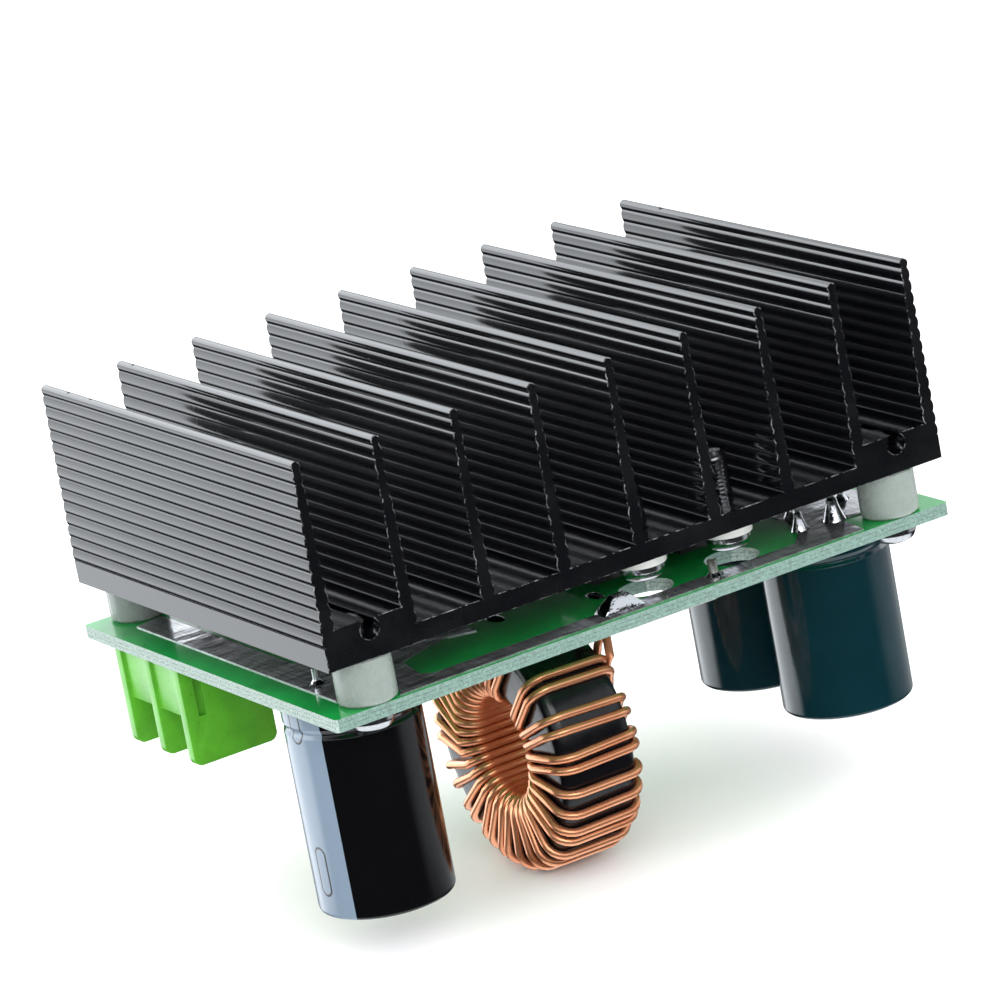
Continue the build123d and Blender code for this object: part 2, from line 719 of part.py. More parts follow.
def trimmer_screw_x():
    return TRIMMER_X + TRIMMER_L / 2 - TRIMMER_SCREW_INSET - TRIMMER_SCREW_D / 2


def trimmer_body():
    body = box_at(TRIMMER_X - TRIMMER_L / 2, TRIMMER_X + TRIMMER_L / 2,
                  TRIMMER_Y - TRIMMER_W / 2, TRIMMER_Y + TRIMMER_W / 2, -TRIMMER_H, 0)
    body = chamfer(body.edges().filter_by(Axis.Z), TRIMMER_EDGE)
    bore = rod(trimmer_screw_x(), TRIMMER_Y, -TRIMMER_H - 1, -TRIMMER_H + TRIMMER_SCREW_DEPTH,
               TRIMMER_SCREW_D + 2 * TRIMMER_RUN_GAP)
    return body - bore


def trimmer_pins():
    return [rod(x, y, 0, BOARD_T, TRIMMER_PIN_D) for x, y in trimmer_pin_spots()]


def trimmer_screw():
    """The brass adjusting screw, with a slot for the blade."""
    low = -TRIMMER_H - TRIMMER_SCREW_PROUD
    screw = rod(trimmer_screw_x(), TRIMMER_Y, low, -TRIMMER_H + TRIMMER_SCREW_DEPTH - TRIMMER_RUN_GAP,
                TRIMMER_SCREW_D)
    slot = Box(2 * TRIMMER_SCREW_D, TRIMMER_SLOT_W, 2 * TRIMMER_SLOT_DEPTH)
    return screw - Pos(trimmer_screw_x(), TRIMMER_Y, low) * slot


# Small parts on the component side


def controller_chip():
    z0, z1 = -CHIP_STANDOFF - CHIP_T, -CHIP_STANDOFF
    body = box_at(CHIP_X - CHIP_L / 2, CHIP_X + CHIP_L / 2, CHIP_Y - CHIP_W / 2, CHIP_Y + CHIP_W / 2, z0, z1)
    return chamfer(body.faces().sort_by(Axis.Z)[0].edges(), CHIP_EDGE)


def controller_legs():
    """Gull wing legs: out of the body, down and flat on the board."""
    t = CHIP_LEG_T
    mid = -CHIP_STANDOFF - CHIP_T / 2
    legs = []
    for side in (-1, 1):
        root = CHIP_Y + side * CHIP_W / 2
        knee = root + side * CHIP_LEG_REACH / 2
        toe = root + side * CHIP_LEG_REACH
        for k in range(CHIP_LEGS_A_SIDE):
            x = CHIP_X + (k - (CHIP_LEGS_A_SIDE - 1) / 2) * CHIP_LEG_PITCH
            x0, x1 = x - CHIP_LEG_W / 2, x + CHIP_LEG_W / 2
            leg = box_at(x0, x1, root, knee, mid - t / 2, mid + t / 2)
            leg += box_at(x0, x1, knee - side * t, knee, mid, 0)
            leg += box_at(x0, x1, knee - side * t, toe, -t, 0)
            legs.append(leg)
    return legs


def chip_blocks(size, spots):
    length, width, height = size
    return [box_at(x - length / 2, x + length / 2, y - width / 2, y + width / 2, -height, 0)
            for x, y in spots]


def current_shunt():
    """A strap of resistance wire flat under the board, its ends bent up through it."""
    (x0, y), (x1, _) = shunt_ends()
    z = -SHUNT_D / 2
    path = FilletPolyline((x0, y, BOARD_T), (x0, y, z), (x1, y, z), (x1, y, lead_top(x1, y)),
                          radius=SHUNT_BEND_R)
    return sweep(Plane(origin=(x0, y, BOARD_T), z_dir=(0, 0, -1)) * Circle(SHUNT_D / 2), path=path)


def build():
    nodes = {
        "heatsink": heatsink(),
        "circuit_board": circuit_board(),
        "tinned_tracks": tinned_tracks(),
        "solder_joints": solder_joints(),
        "corner_screws": corner_screws(),
        "inductor_core": inductor_core(),
        "inductor_winding": inductor_winding(),
        "trimmer_body": trimmer_body(),
        "trimmer_pins": trimmer_pins(),
        "trimmer_screw": trimmer_screw(),
        "controller_chip": controller_chip(),
        "controller_chip_legs": controller_legs(),
        "ceramic_capacitors": chip_blocks(CERAMIC_SIZE, CERAMIC_SPOTS),
        "chip_resistors": chip_blocks(RESISTOR_SIZE, RESISTOR_SPOTS),
        "current_shunt": current_shunt(),
    }
    for number, (x, y) in enumerate(corner_spots(), 1):
        nodes[f"spacer_{number}"] = spacer(x, y)
    for name, x in zip(("switch_transistor", "rectifier_diode"), CLAMP_XS):
        nodes[name + "_pad"] = device_pad(x)
        nodes[name + "_frame"] = device_frame(x)
        nodes[name + "_body"] = device_body(x)
        nodes[name + "_bush"] = device_bush(x)
        nodes[name + "_screw"] = clamp_screw(x)
    for name, x, y, d, length, direction in CAPACITORS:
        nodes[name + "_can"] = can(x, y, d, length)
        nodes[name + "_end"] = can_end(x, y, d, length)
        nodes[name + "_bung"] = bung(x, y, d, direction)
        nodes[name + "_leads"] = can_leads(x, y, direction)
    for name, side in terminal_sides():
        nodes[name + "_housing"] = placed_terminal([terminal_housing()], side)[0]
        nodes[name + "_contacts"] = placed_terminal(terminal_contacts(), side)
        nodes[name + "_screws"] = placed_terminal(terminal_screws(), side)
    return nodes


os.makedirs("parts", exist_ok=True)
for node, shape in build().items():
    if isinstance(shape, (list, tuple)):
        shape = Compound(children=list(shape))
    export_step(shape, f"parts/{node}.step")
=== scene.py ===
import random
from math import asin, cos, pi, radians, sin

import bmesh
import bpy
from bpy.props import FloatProperty, FloatVectorProperty, IntProperty, PointerProperty
from bpy.types import NodeSocket, Operator, Panel, PropertyGroup
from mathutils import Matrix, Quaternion, Vector


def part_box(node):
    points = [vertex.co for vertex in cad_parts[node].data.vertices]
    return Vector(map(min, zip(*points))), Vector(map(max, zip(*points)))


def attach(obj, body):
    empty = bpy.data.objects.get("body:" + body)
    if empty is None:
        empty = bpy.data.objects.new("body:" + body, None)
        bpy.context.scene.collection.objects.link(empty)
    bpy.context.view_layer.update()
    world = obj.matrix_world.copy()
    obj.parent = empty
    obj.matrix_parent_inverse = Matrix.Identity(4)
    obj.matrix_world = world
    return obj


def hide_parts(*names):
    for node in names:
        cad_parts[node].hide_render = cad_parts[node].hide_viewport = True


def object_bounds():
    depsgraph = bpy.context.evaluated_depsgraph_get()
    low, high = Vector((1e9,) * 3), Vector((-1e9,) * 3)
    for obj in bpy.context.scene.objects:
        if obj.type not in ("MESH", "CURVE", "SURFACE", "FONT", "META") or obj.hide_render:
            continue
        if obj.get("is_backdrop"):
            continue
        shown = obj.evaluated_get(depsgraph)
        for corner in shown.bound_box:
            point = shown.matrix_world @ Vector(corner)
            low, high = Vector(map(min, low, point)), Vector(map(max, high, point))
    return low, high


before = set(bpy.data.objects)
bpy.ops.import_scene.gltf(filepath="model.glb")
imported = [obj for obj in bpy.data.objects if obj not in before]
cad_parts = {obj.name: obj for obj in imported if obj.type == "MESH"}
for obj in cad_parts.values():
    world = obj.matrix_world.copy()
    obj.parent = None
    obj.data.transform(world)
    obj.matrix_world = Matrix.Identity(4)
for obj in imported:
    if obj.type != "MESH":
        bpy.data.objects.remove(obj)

bl_info = {
    "name": "Boost converter module",
    "version": (1, 0, 0),
    "blender": (4, 5, 0),
    "location": "View3D > Sidebar > Converter",
    "description": "Dresses the packed boost converter module with its visible pieces and finishes",
    "category": "Object",
}

MM = 0.001
BODY = "module"
SCREW_BODY = "adjusting_screw"
UP = Vector((0, 0, 1))


def linear(code):
    """Linear colour from a hex code."""
    parts = [int(code[k:k + 2], 16) / 255 for k in (0, 2, 4)]
    return tuple(c / 12.92 if c <= 0.04045 else ((c + 0.055) / 1.055) ** 2.4 for c in parts)


# Sizes and colours that can be changed in the sidebar


def length(name, description, millimetres):
    return FloatProperty(name=name, description=description, default=millimetres * MM, unit="LENGTH",
                         min=0, precision=5)


def angle(name, description, degrees):
    return FloatProperty(name=name, description=description, default=radians(degrees), subtype="ANGLE")


def colour(name, description, code):
    return FloatVectorProperty(name=name, description=description, default=linear(code), subtype="COLOR",
                               size=3, min=0, max=1)


class HeatsinkSizes(PropertyGroup):
    fins: IntProperty(name="Fins", description="Number of fins", default=9, min=3)
    pitch: length("Fin pitch", "Distance from one fin to the next", 10.6)
    root: length("Fin root", "Thickness of a fin where it meets the base", 1.75)
    tip: length("Fin tip", "Thickness of a fin just under its round tip", 1.0)
    bead: length("Tip bead", "Diameter of the round tip of a fin", 1.2)
    base: length("Base", "Thickness of the base between the fins", 2.4)
    thick_base: length("Outer base", "Thickness of the base in the two outer channels", 4.8)
    strip: length("Plain strip", "Height of the smooth foot of the two outer faces", 2.9)
    rib_pitch: length("Rib pitch", "Distance from one rib of a fin's face to the next", 1.5)
    rib: length("Rib height", "How far a rib stands out", 0.22)
    port: length("Port", "Diameter of the screw ports", 2.6)
    port_depth: length("Port depth", "Depth of a port's middle under the channel floor", 1.2)
    edge: length("Cut edge", "Width of the dulled edge round the sawn ends", 0.09)


class InductorSizes(PropertyGroup):
    wire: length("Wire", "Diameter of the enamelled wire", 1.05)
    gap: length("Lay", "Gap between the wire and the core", 0.03)
    bore: length("Bore", "Diameter of the core's bore", 14.1)
    edge: length("Core edge", "Radius of the core's rounded edges", 1.8)
    turns: IntProperty(name="Turns", description="Number of turns", default=17, min=1)
    strands: IntProperty(name="Strands", description="Strands wound side by side", default=2, min=1)
    start: angle("Start", "Angle at which the winding starts in the bore", 108)
    bare: angle("Bare arc", "Arc of the bore that the winding leaves free", 39)
    lean: angle("Lead lean", "How far round the core a lead runs across its face", 9.5)


class CapacitorSizes(PropertyGroup):
    shoulder: length("Shoulder", "Radius of the sleeve's rolled shoulder", 0.6)
    lip: length("Lip", "Width of the sleeve's lip round the bare end", 1.1)
    groove: length("Groove place", "Distance of the crimp groove from the board", 3.0)
    groove_depth: length("Groove depth", "Depth of the crimp groove", 0.35)
    groove_width: length("Groove width", "Width of the crimp groove", 1.2)
    inset: length("Inset", "How far the bare end lies inside the lip", 0.3)


class Colours(PropertyGroup):
    anodised: colour("Anodised", "Black anodised aluminium", "050609")
    mask: colour("Solder mask", "Green solder mask", "189a45")
    fibre: colour("Board edge", "Cut edge of the board", "76938a")
    copper: colour("Wire", "Enamelled copper", "eba47a")
    core: colour("Core", "Epoxy coat of the core", "09090d")
    black_sleeve: colour("Black sleeve", "Sleeve of the input capacitor", "060608")
    stripe: colour("Stripe", "Stripe on the black sleeve", "6d7c8c")
    teal_sleeve: colour("Teal sleeve", "Sleeve of the output capacitors", "04252c")
    green: colour("Terminal", "Green moulded plastic", "52a026")
    nylon: colour("Nylon", "White nylon spacers", "848d89")
    metal: colour("Plated metal", "Nickel plated steel", "d2d3d6")
    solder: colour("Solder", "Bright solder", "c6c8cc")


GROUPS = {
    "converter_heatsink": HeatsinkSizes,
    "converter_inductor": InductorSizes,
    "converter_capacitors": CapacitorSizes,
    "converter_colours": Colours,
}


# Places read from the frame


def box(node):
    low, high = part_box(node)
    return Vector(low), Vector(high)


def middle(node):
    low, high = box(node)
    return (low + high) / 2


def upright_axis(low, high):
    """Where the upright middle line of a box meets the board's lower face."""
    return Vector(((low.x + high.x) / 2, (low.y + high.y) / 2, 0))


def shaded(colour, share):
    return tuple(share * c for c in colour)


def loose_parts(node):
    """Corners of each separate solid of a CAD node."""
    net = bmesh.new()
    net.from_mesh(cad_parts[node].data)
    bmesh.ops.remove_doubles(net, verts=net.verts, dist=0.001 * MM)
    boxes, seen = [], set()
    for first in net.verts:
        if first in seen:
            continue
        seen.add(first)
        group = [first]
        for vert in group:
            others = {edge.other_vert(vert) for edge in vert.link_edges} - seen
            seen |= others
            group += others
        boxes.append([Vector([pick(vert.co[k] for vert in group) for k in range(3)]) for pick in (min, max)])
    net.free()
    return boxes


# Modelling steps


def active():
    return bpy.context.active_object


def deselect():
    bpy.ops.object.select_all(action="DESELECT")


def choose(piece):
    deselect()
    piece.select_set(True)
    bpy.context.view_layer.objects.active = piece


def edit(piece):
    choose(piece)
    bpy.ops.object.mode_set(mode="EDIT")
    bpy.ops.mesh.select_mode(type="VERT")


def leave():
    bpy.ops.object.mode_set(mode="OBJECT")


def select_everything():
    bpy.ops.mesh.select_all(action="SELECT")


def select_where(test, kind="FACE"):
    """Selects the faces or vertices of the piece in edit mode that pass a test."""
    bpy.ops.mesh.select_all(action="DESELECT")
    bpy.ops.mesh.select_mode(type=kind)
    net = bmesh.from_edit_mesh(active().data)
    for item in net.faces if kind == "FACE" else net.verts:
        item.select_set(bool(test(item)))
    net.select_flush_mode()
    bmesh.update_edit_mesh(active().data)


def tidy_mesh(merge=0.002):
    """Merges doubles and turns all faces outwards, in edit mode."""
    select_everything()
    bpy.ops.mesh.remove_doubles(threshold=merge * MM)
    bpy.ops.mesh.normals_make_consistent(inside=False)


def primitive(kind, centre=(0, 0, 0), **settings):
    """A new primitive with its place in its mesh, to be shaped or cut with."""
    deselect()
    getattr(bpy.ops.mesh, f"primitive_{kind}_add")(location=centre, **settings)
    bpy.ops.object.transform_apply()
    return active()


def draw(points, closed=False):
    """Extrudes a vertex along a line of points, and leaves the new mesh in edit mode."""
    piece = primitive("plane", size=MM)
    edit(piece)
    bpy.ops.mesh.merge(type="CENTER")
    bpy.ops.transform.translate(value=points[0])
    for here, there in zip(points, points[1:]):
        bpy.ops.mesh.extrude_vertices_move(TRANSFORM_OT_translate={"value": there - here})
    if closed:
        select_where(lambda vert: len(vert.link_edges) == 1, "VERT")
        bpy.ops.mesh.edge_face_add()
    return piece


def rounded(points, radius, steps=4):
    """An open outline with its inner corners rounded, all alike or each with a radius from a list."""
    radii = radius if isinstance(radius, list) else [radius] * (len(points) - 2)
    result = [points[0]]
    for before, corner, after, r in zip(points, points[1:], points[2:], radii):
        p, q, s = Vector(before), Vector(corner), Vector(after)
        a, b = (p - q).normalized(), (s - q).normalized()
        half = a.angle(b) / 2
        if r == 0 or half > radians(89):
            result.append(tuple(q))
            continue
        reach = min(r / abs(sin(half) / cos(half)), 0.49 * (p - q).length, 0.49 * (s - q).length)
        start, end = q + a * reach, q + b * reach
        for k in range(steps + 1):
            t = k / steps
            result.append(tuple((1 - t) ** 2 * start + 2 * t * (1 - t) * q + t ** 2 * end))
    return result + [points[-1]]


def turned(outline, centre, axis=UP, steps=48, closed=False):
    """Spins an outline of (radius, height) points about an axis through a point."""
    across = Vector((0, 1, 0)) if abs(axis.x) > 0.5 else Vector((1, 0, 0))
    piece = draw([centre + across * r + axis * h for r, h in outline], closed)
    select_everything()
    bpy.ops.mesh.spin(steps=steps, angle=2 * pi, center=centre, axis=axis)
    tidy_mesh()
    leave()
    return piece


def smooth(piece, degrees=32):
    choose(piece)
    bpy.ops.object.shade_smooth_by_angle(angle=radians(degrees))


def joined(pieces):
    """One object out of several."""
    choose(pieces[0])
    for piece in pieces:
        piece.select_set(True)
    bpy.ops.object.join()
    return active()


def modify(piece, kind, **settings):
    """Adds a modifier and applies it."""
    choose(piece)
    modifier = piece.modifiers.new(kind, kind)
    for key, value in settings.items():
        setattr(modifier, key, value)
    bpy.ops.object.modifier_apply(modifier=modifier.name)


def cut(piece, cutter):
    modify(piece, "BOOLEAN", operation="DIFFERENCE", solver="EXACT", object=cutter)
    bpy.data.objects.remove(cutter)


def block(low, high):
    piece = primitive("cube", size=1)
    piece.location, piece.scale = (low + high) / 2, high - low
    bpy.ops.object.transform_apply()
    return piece


def settle(piece, name, finish, slot, node, body=BODY):
    """Puts a finished piece's place into its mesh, dresses it and sets it on the frame."""
    choose(piece)
    bpy.ops.object.transform_apply()
    piece.name = name
    piece.data.name = name
    piece.data.materials.clear()
    piece.data.materials.append(finish)
    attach(piece, body)
    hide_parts(node)


def eased(node, name, finish, slot, width=0.12, segments=2, body=BODY):
    """A copy of a CAD solid, merged and with its edges eased, in place of the plain one."""
    deselect()
    piece = bpy.data.objects.new(name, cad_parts[node].data.copy())
    bpy.context.scene.collection.objects.link(piece)
    edit(piece)
    tidy_mesh()
    bpy.ops.mesh.customdata_custom_splitnormals_clear()
    bpy.ops.mesh.dissolve_limited(angle_limit=radians(1))
    leave()
    if width:
        modify(piece, "BEVEL", width=width * MM, segments=segments, limit_method="ANGLE",
               angle_limit=radians(40), miter_outer="MITER_ARC")
    smooth(piece, 35)
    settle(piece, name, finish, slot, node, body)


def dress(node, finish):
    """Gives a CAD node that keeps its own shape a finish."""
    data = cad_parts[node].data
    data.materials.clear()
    data.materials.append(finish)


# Finishes


class Nodes:
    """Short calls that add shader nodes to a tree and join them."""

    def __init__(self, tree):
        self.tree = tree

    def feed(self, socket, value):
        if isinstance(value, NodeSocket):
            self.tree.links.new(value, socket)
        else:
            socket.default_value = value

    def node(self, kind, settings=None, inputs=(), **sockets):
        """A node with its settings, its inputs in order and its inputs by name."""
        made = self.tree.nodes.new(kind)
        for key, value in (settings or {}).items():
            setattr(made, key, value)
        for index, value in enumerate(inputs):
            self.feed(made.inputs[index], value)
        for key, value in sockets.items():
            self.feed(made.inputs[key.replace("_", " ")], value)
        return made

    def math(self, operation, *inputs):
        return self.node("ShaderNodeMath", {"operation": operation}, inputs).outputs[0]

    def times(self, *inputs):
        return self.math("MULTIPLY", *inputs)

    def split(self, vector):
        return self.node("ShaderNodeSeparateXYZ", Vector=vector).outputs


class Finish(Nodes):
    """A material of one shader, with short calls for the textures that feed it."""

    def __init__(self, name, base, roughness, metallic=0.0, coat=0.0, specular=0.5):
        self.material = bpy.data.materials.new(name)
        self.material.use_nodes = True
        self.material.diffuse_color = (*base, 1)
        super().__init__(self.material.node_tree)
        self.set("Base Color", (*base, 1))
        self.set("Roughness", roughness)
        self.set("Metallic", metallic)
        self.set("Coat Weight", coat)
        self.set("Coat Roughness", 0.08)
        self.set("Specular IOR Level", specular)

    def set(self, socket, value):
        """Gives one of the shader's sockets a constant or a texture's output."""
        self.feed(self.tree.nodes["Principled BSDF"].inputs[socket], value)

    def place(self, stretch=(1, 1, 1), centre=(0, 0, 0)):
        """Object coordinates about a centre, with a stretch along each axis."""
        coords = self.node("ShaderNodeTexCoord").outputs["Object"]
        moved = self.node("ShaderNodeVectorMath", {"operation": "SUBTRACT"}, (coords, centre))
        return self.node("ShaderNodeMapping", Vector=moved.outputs[0], Scale=stretch).outputs["Vector"]

    def noise(self, size, stretch=(1, 1, 1), detail=3.0, roughness=0.5):
        """Cloudy values whose spots are about the given size."""
        made = self.node("ShaderNodeTexNoise", Vector=self.place(stretch), Scale=1 / (size * MM),
                         Detail=detail, Roughness=roughness)
        return made.outputs[0]

    def spots(self, size):
        """Distance to the nearest of scattered points, for pits."""
        made = self.node("ShaderNodeTexVoronoi", Vector=self.place(), Scale=1 / (size * MM))
        return made.outputs["Distance"]

    def ramp(self, value, *stops):
        """Colours or brightnesses at places from 0 to 1."""
        made = self.node("ShaderNodeValToRGB", None, (value,))
        elements = made.color_ramp.elements
        elements.remove(elements[1])
        for index, (position, shade) in enumerate(stops):
            tone = shade if isinstance(shade, tuple) else (shade, shade, shade)
            element = elements[0] if index == 0 else elements.new(position)
            element.position = position
            element.color = (*tone, 1)
        return made.outputs[0]

    def spread(self, cloud, low, high):
        """From one value to another over the middle of a cloud's range."""
        return self.ramp(cloud, (0.3, low), (0.7, high))

    def mix(self, share, first, second):
        """One colour where the share is 0 and another where it is 1."""
        made = self.node("ShaderNodeMix", {"data_type": "RGBA"}, (share,))
        for index, value in ((6, first), (7, second)):
            self.feed(made.inputs[index], (*value, 1) if isinstance(value, tuple) else value)
        return made.outputs[2]

    def facing(self):
        """The three parts of the surface's direction."""
        return self.split(self.node("ShaderNodeNewGeometry").outputs["Normal"])

    def band(self, value, low, high):
        """One between two values and none outside them."""
        above = self.math("GREATER_THAN", value, low)
        return self.times(above, self.math("LESS_THAN", value, high))

    def bump(self, height, depth, under=None):
        """Relief of the given depth in millimetres, over another relief where one is given."""
        made = self.node("ShaderNodeBump", Strength=1.0, Distance=depth * MM, Height=height)
        if under is not None:
            self.feed(made.inputs["Normal"], under)
        return made.outputs["Normal"]

    def skin(self, cloud, low, high, depth):
        """Gloss that wanders between two roughnesses, and relief, both from one cloud."""
        self.set("Roughness", self.spread(cloud, low, high))
        self.set("Normal", self.bump(cloud, depth))


def anodised_finish(colours):
    """Black anodised extrusion: glossy with fine die lines, plain sawn ends, bare glints on their rims."""
    look = Finish("anodised_aluminium", colours.anodised[:], 0.12)
    lines = look.noise(0.3, (1, 0.012, 1), 4)
    saw = look.noise(0.25, (1, 1, 0.06), 4)
    across = look.math("ABSOLUTE", look.facing()[1])
    end = look.math("GREATER_THAN", across, 0.8)
    dust = look.ramp(look.noise(6, detail=5), (0.35, 0.0), (0.75, 1.0))
    look.set("Roughness", look.mix(end, look.ramp(lines, (0.2, 0.09), (0.8, 0.16)),
                                   look.ramp(dust, (0.2, 0.22), (0.8, 0.32))))
    look.set("IOR", 1.6)
    worn = tuple(1.6 * c + 0.001 for c in colours.anodised)
    shade = look.mix(look.ramp(dust, (0.0, 0.0), (1.0, 0.3)), colours.anodised[:], worn)
    chips = look.ramp(look.noise(0.9, detail=5, roughness=0.7), (0.5, 0.0), (0.68, 0.45))
    bare = look.times(look.band(across, 0.15, 0.75), chips)
    look.set("Base Color", look.mix(bare, shade, colours.metal[:]))
    look.set("Metallic", look.times(bare, 0.5))
    scratch = look.ramp(look.noise(2.2, (1, 1, 0.15), 6, 0.7), (0.62, 0.0), (0.66, 1.0))
    relief = look.bump(look.mix(end, lines, saw), 0.006)
    look.set("Normal", look.bump(scratch, 0.002, relief))
    return look.material


# Heights of the two broken lines of fibre in the board's edge, in millimetres
FIBRE_LINES = ((0.5, 0.6), (1.0, 1.1))


def laminate_finish(colours):
    """Glossy green mask on both faces, and a pale, grainy cut edge with two broken lines of fibre."""
    look = Finish("board_laminate", colours.mask[:], 0.16)
    height = look.split(look.place())[2]
    facing = look.facing()
    side = look.math("LESS_THAN", look.math("ABSOLUTE", facing[2]), 0.5)
    cloud = look.noise(7, detail=4)
    clear = look.ramp(cloud, (0.35, 0.0), (0.65, 1.0))
    mask = look.mix(clear, shaded(colours.mask, 0.72), colours.mask[:])
    dashes = look.ramp(look.noise(0.7, (1, 1, 0.1), 4, 0.7), (0.46, 0.0), (0.52, 1.0))
    sway = look.times(look.math("SUBTRACT", look.noise(3), 0.5), 0.25 * MM)
    layer = look.math("ADD", height, sway)
    lines = look.math("ADD", *(look.band(layer, low * MM, high * MM) for low, high in FIBRE_LINES))
    fibres = look.times(lines, dashes)
    grain = look.ramp(look.noise(0.28, detail=5, roughness=0.75), (0.36, 0.0), (0.66, 1.0))
    pale = look.mix(grain, shaded(colours.fibre, 0.62), shaded(colours.fibre, 1.2))
    torn = look.times(look.math("GREATER_THAN", look.math("ABSOLUTE", facing[0]), 0.5), 0.45)
    white = look.mix(look.times(torn, grain), pale, (0.86, 0.93, 0.89))
    edge = look.mix(look.times(fibres, 0.6), white, shaded(colours.fibre, 0.25))
    look.set("Base Color", look.mix(side, mask, edge))
    look.set("Roughness", look.mix(side, (0.12, 0.12, 0.12), (0.55, 0.55, 0.55)))
    routing = look.times(grain, side)
    look.set("Normal", look.bump(routing, 0.05, look.bump(cloud, 0.01)))
    return look.material


def solder_finish(colours):
    """Bright solder with a slightly rippled skin."""
    look = Finish("solder", colours.solder[:], 0.14, metallic=1.0)
    look.skin(look.noise(0.8, detail=2), 0.06, 0.16, 0.09)
    return look.material


def track_finish(colours):
    """Tinned track: nearly a mirror, with fine lines along Y, slow waves, darker streaks and lines that are
    partly the tin's own and partly a painted reflection of the heatsink above, and pits.
    """
    look = Finish("tinned_track", colours.solder[:], 0.12, metallic=0.85)
    wave = look.noise(4.0, (0.6, 1, 1), 2)
    streaks_and_reflection = look.noise(1.2, (0.25, 1, 1), 4, 0.6)
    lines = look.noise(0.35, (1, 0.02, 1), 2)
    pits = look.ramp(look.spots(1.3), (0.06, 0.0), (0.12, 1.0))
    # The darker streaks and lines in the tin's colour are partly its own uneven flow and partly a painted
    # reflection of the ribbed heatsink above.
    shade = look.ramp(streaks_and_reflection, (0.34, shaded(colours.solder, 0.4)), (0.48, colours.solder[:]),
                      (0.7, shaded(colours.solder, 0.75)))
    lined = look.mix(look.ramp(lines, (0.42, 0.0), (0.56, 0.5)), shade, shaded(colours.solder, 0.3))
    look.set("Base Color", look.mix(pits, shaded(colours.solder, 0.2), lined))
    look.set("Roughness", look.spread(streaks_and_reflection, 0.06, 0.22))
    look.set("Normal", look.bump(pits, 0.03, look.bump(wave, 0.16)))
    return look.material


def nylon_finish(colours):
    """Milky nylon, slightly uneven from moulding."""
    look = Finish("white_nylon", colours.nylon[:], 0.38)
    look.set("Subsurface Weight", 1.0)
    look.set("Subsurface Radius", (1.0, 1.0, 1.0))
    look.set("Subsurface Scale", 2.2 * MM)
    look.skin(look.noise(1.8, detail=3), 0.2, 0.36, 0.03)
    return look.material


def metal_finish(name, base, low, high, grain=0.4, stretch=(1, 1, 1)):
    """Bare or plated metal whose gloss wanders between two roughnesses."""
    look = Finish(name, base, low, metallic=1.0)
    cloud = look.noise(grain, stretch, 4)
    look.set("Base Color", look.spread(cloud, shaded(base, 0.82), base))
    look.skin(cloud, low, high, 0.01)
    return look.material


def copper_finish(colours):
    """Enamelled copper: warm smooth metal under clear varnish, a little redder in places."""
    look = Finish("enamelled_copper", colours.copper[:], 0.3, metallic=0.85, coat=0.1)
    cloud = look.noise(5.0, detail=3)
    redder = tuple(k * c for k, c in zip((0.88, 0.72, 0.66), colours.copper))
    share = look.ramp(cloud, (0.42, 0.0), (0.7, 0.8))
    look.set("Base Color", look.mix(share, colours.copper[:], redder))
    look.set("Roughness", look.spread(look.noise(3.0), 0.26, 0.36))
    return look.material


def plastic_finish(name, base, low, high, grain=0.5, depth=0.01, coat=0.0, specular=0.5):
    """Moulded or cast material with a fine surface grain."""
    look = Finish(name, base, low, coat=coat, specular=specular)
    light = tuple(min(1.0, c) for c in shaded(base, 1.08))
    look.set("Base Color", look.spread(look.noise(6 * grain, detail=2), shaded(base, 0.86), light))
    look.skin(look.noise(grain, detail=4), low, high, depth)
    return look.material


# Capsule outlines on the striped sleeve, in millimetres, and the seam's angle from the stripe
CAPSULE_R, CAPSULE_STRAIGHT, CAPSULE_LINE = 1.05, 2.1, 0.28
SEAM_AT = 74


def sleeve_finish(name, base, stripe, centre, radius, stripe_at, stripe_width, capsules):
    """Shrunk plastic sleeve with a thin seam, a stripe down it and capsule outlines in the stripe."""
    look = Finish(name, base, 0.14, coat=0.12)
    x, y, z = look.split(look.place(centre=centre))
    # measured from -X, so that the arctangent's jump lies on the far side
    angle = look.math("ARCTAN2", look.times(y, -1.0), look.times(x, -1.0))
    across = look.math("SUBTRACT", angle, radians(stripe_at) - pi)
    cloud = look.ramp(look.noise(6.0), (0.35, 0.0), (0.65, 1.0))
    shade = look.mix(cloud, shaded(base, 0.82), base)
    half = radians(stripe_width) / 2
    shade = look.mix(look.band(across, -half, half), shade, stripe)
    sideways = look.math("POWER", look.math("ABSOLUTE", look.times(across, radius / MM)), 2.0)
    for height in capsules:
        along = look.math("ABSOLUTE", look.math("DIVIDE", look.math("SUBTRACT", z, height * MM), MM))
        past = look.math("MAXIMUM", look.math("SUBTRACT", along, CAPSULE_STRAIGHT), 0.0)
        reach = look.math("SQRT", look.math("ADD", sideways, look.math("POWER", past, 2.0)))
        shade = look.mix(look.band(reach, CAPSULE_R - CAPSULE_LINE, CAPSULE_R), shade, base)
    look.set("Base Color", shade)
    look.set("Roughness", look.spread(look.noise(0.8), 0.1, 0.18))
    seam = look.band(look.math("SUBTRACT", across, radians(SEAM_AT)), -0.006, 0.006)
    wave = look.noise(4.5, (1, 1, 0.3), 2)
    look.set("Normal", look.bump(seam, 0.05, look.bump(wave, 0.06)))
    return look.material


# Pieces

# How far the round tip of a fin tucks in under its widest place
BEAD_TUCK = radians(25)
# Radius of the clamp screws' holes, in millimetres
CLAMP_HOLE = 1.55
# Knocks in the tips of the fins: x, y and radius in millimetres
NICKS = ((42.4, 21.7, 0.6), (-42.4, 24.5, 0.4), (-42.4, 18.6, 0.35), (-31.8, 27.6, 0.4))
NICK_RISE = 0.2


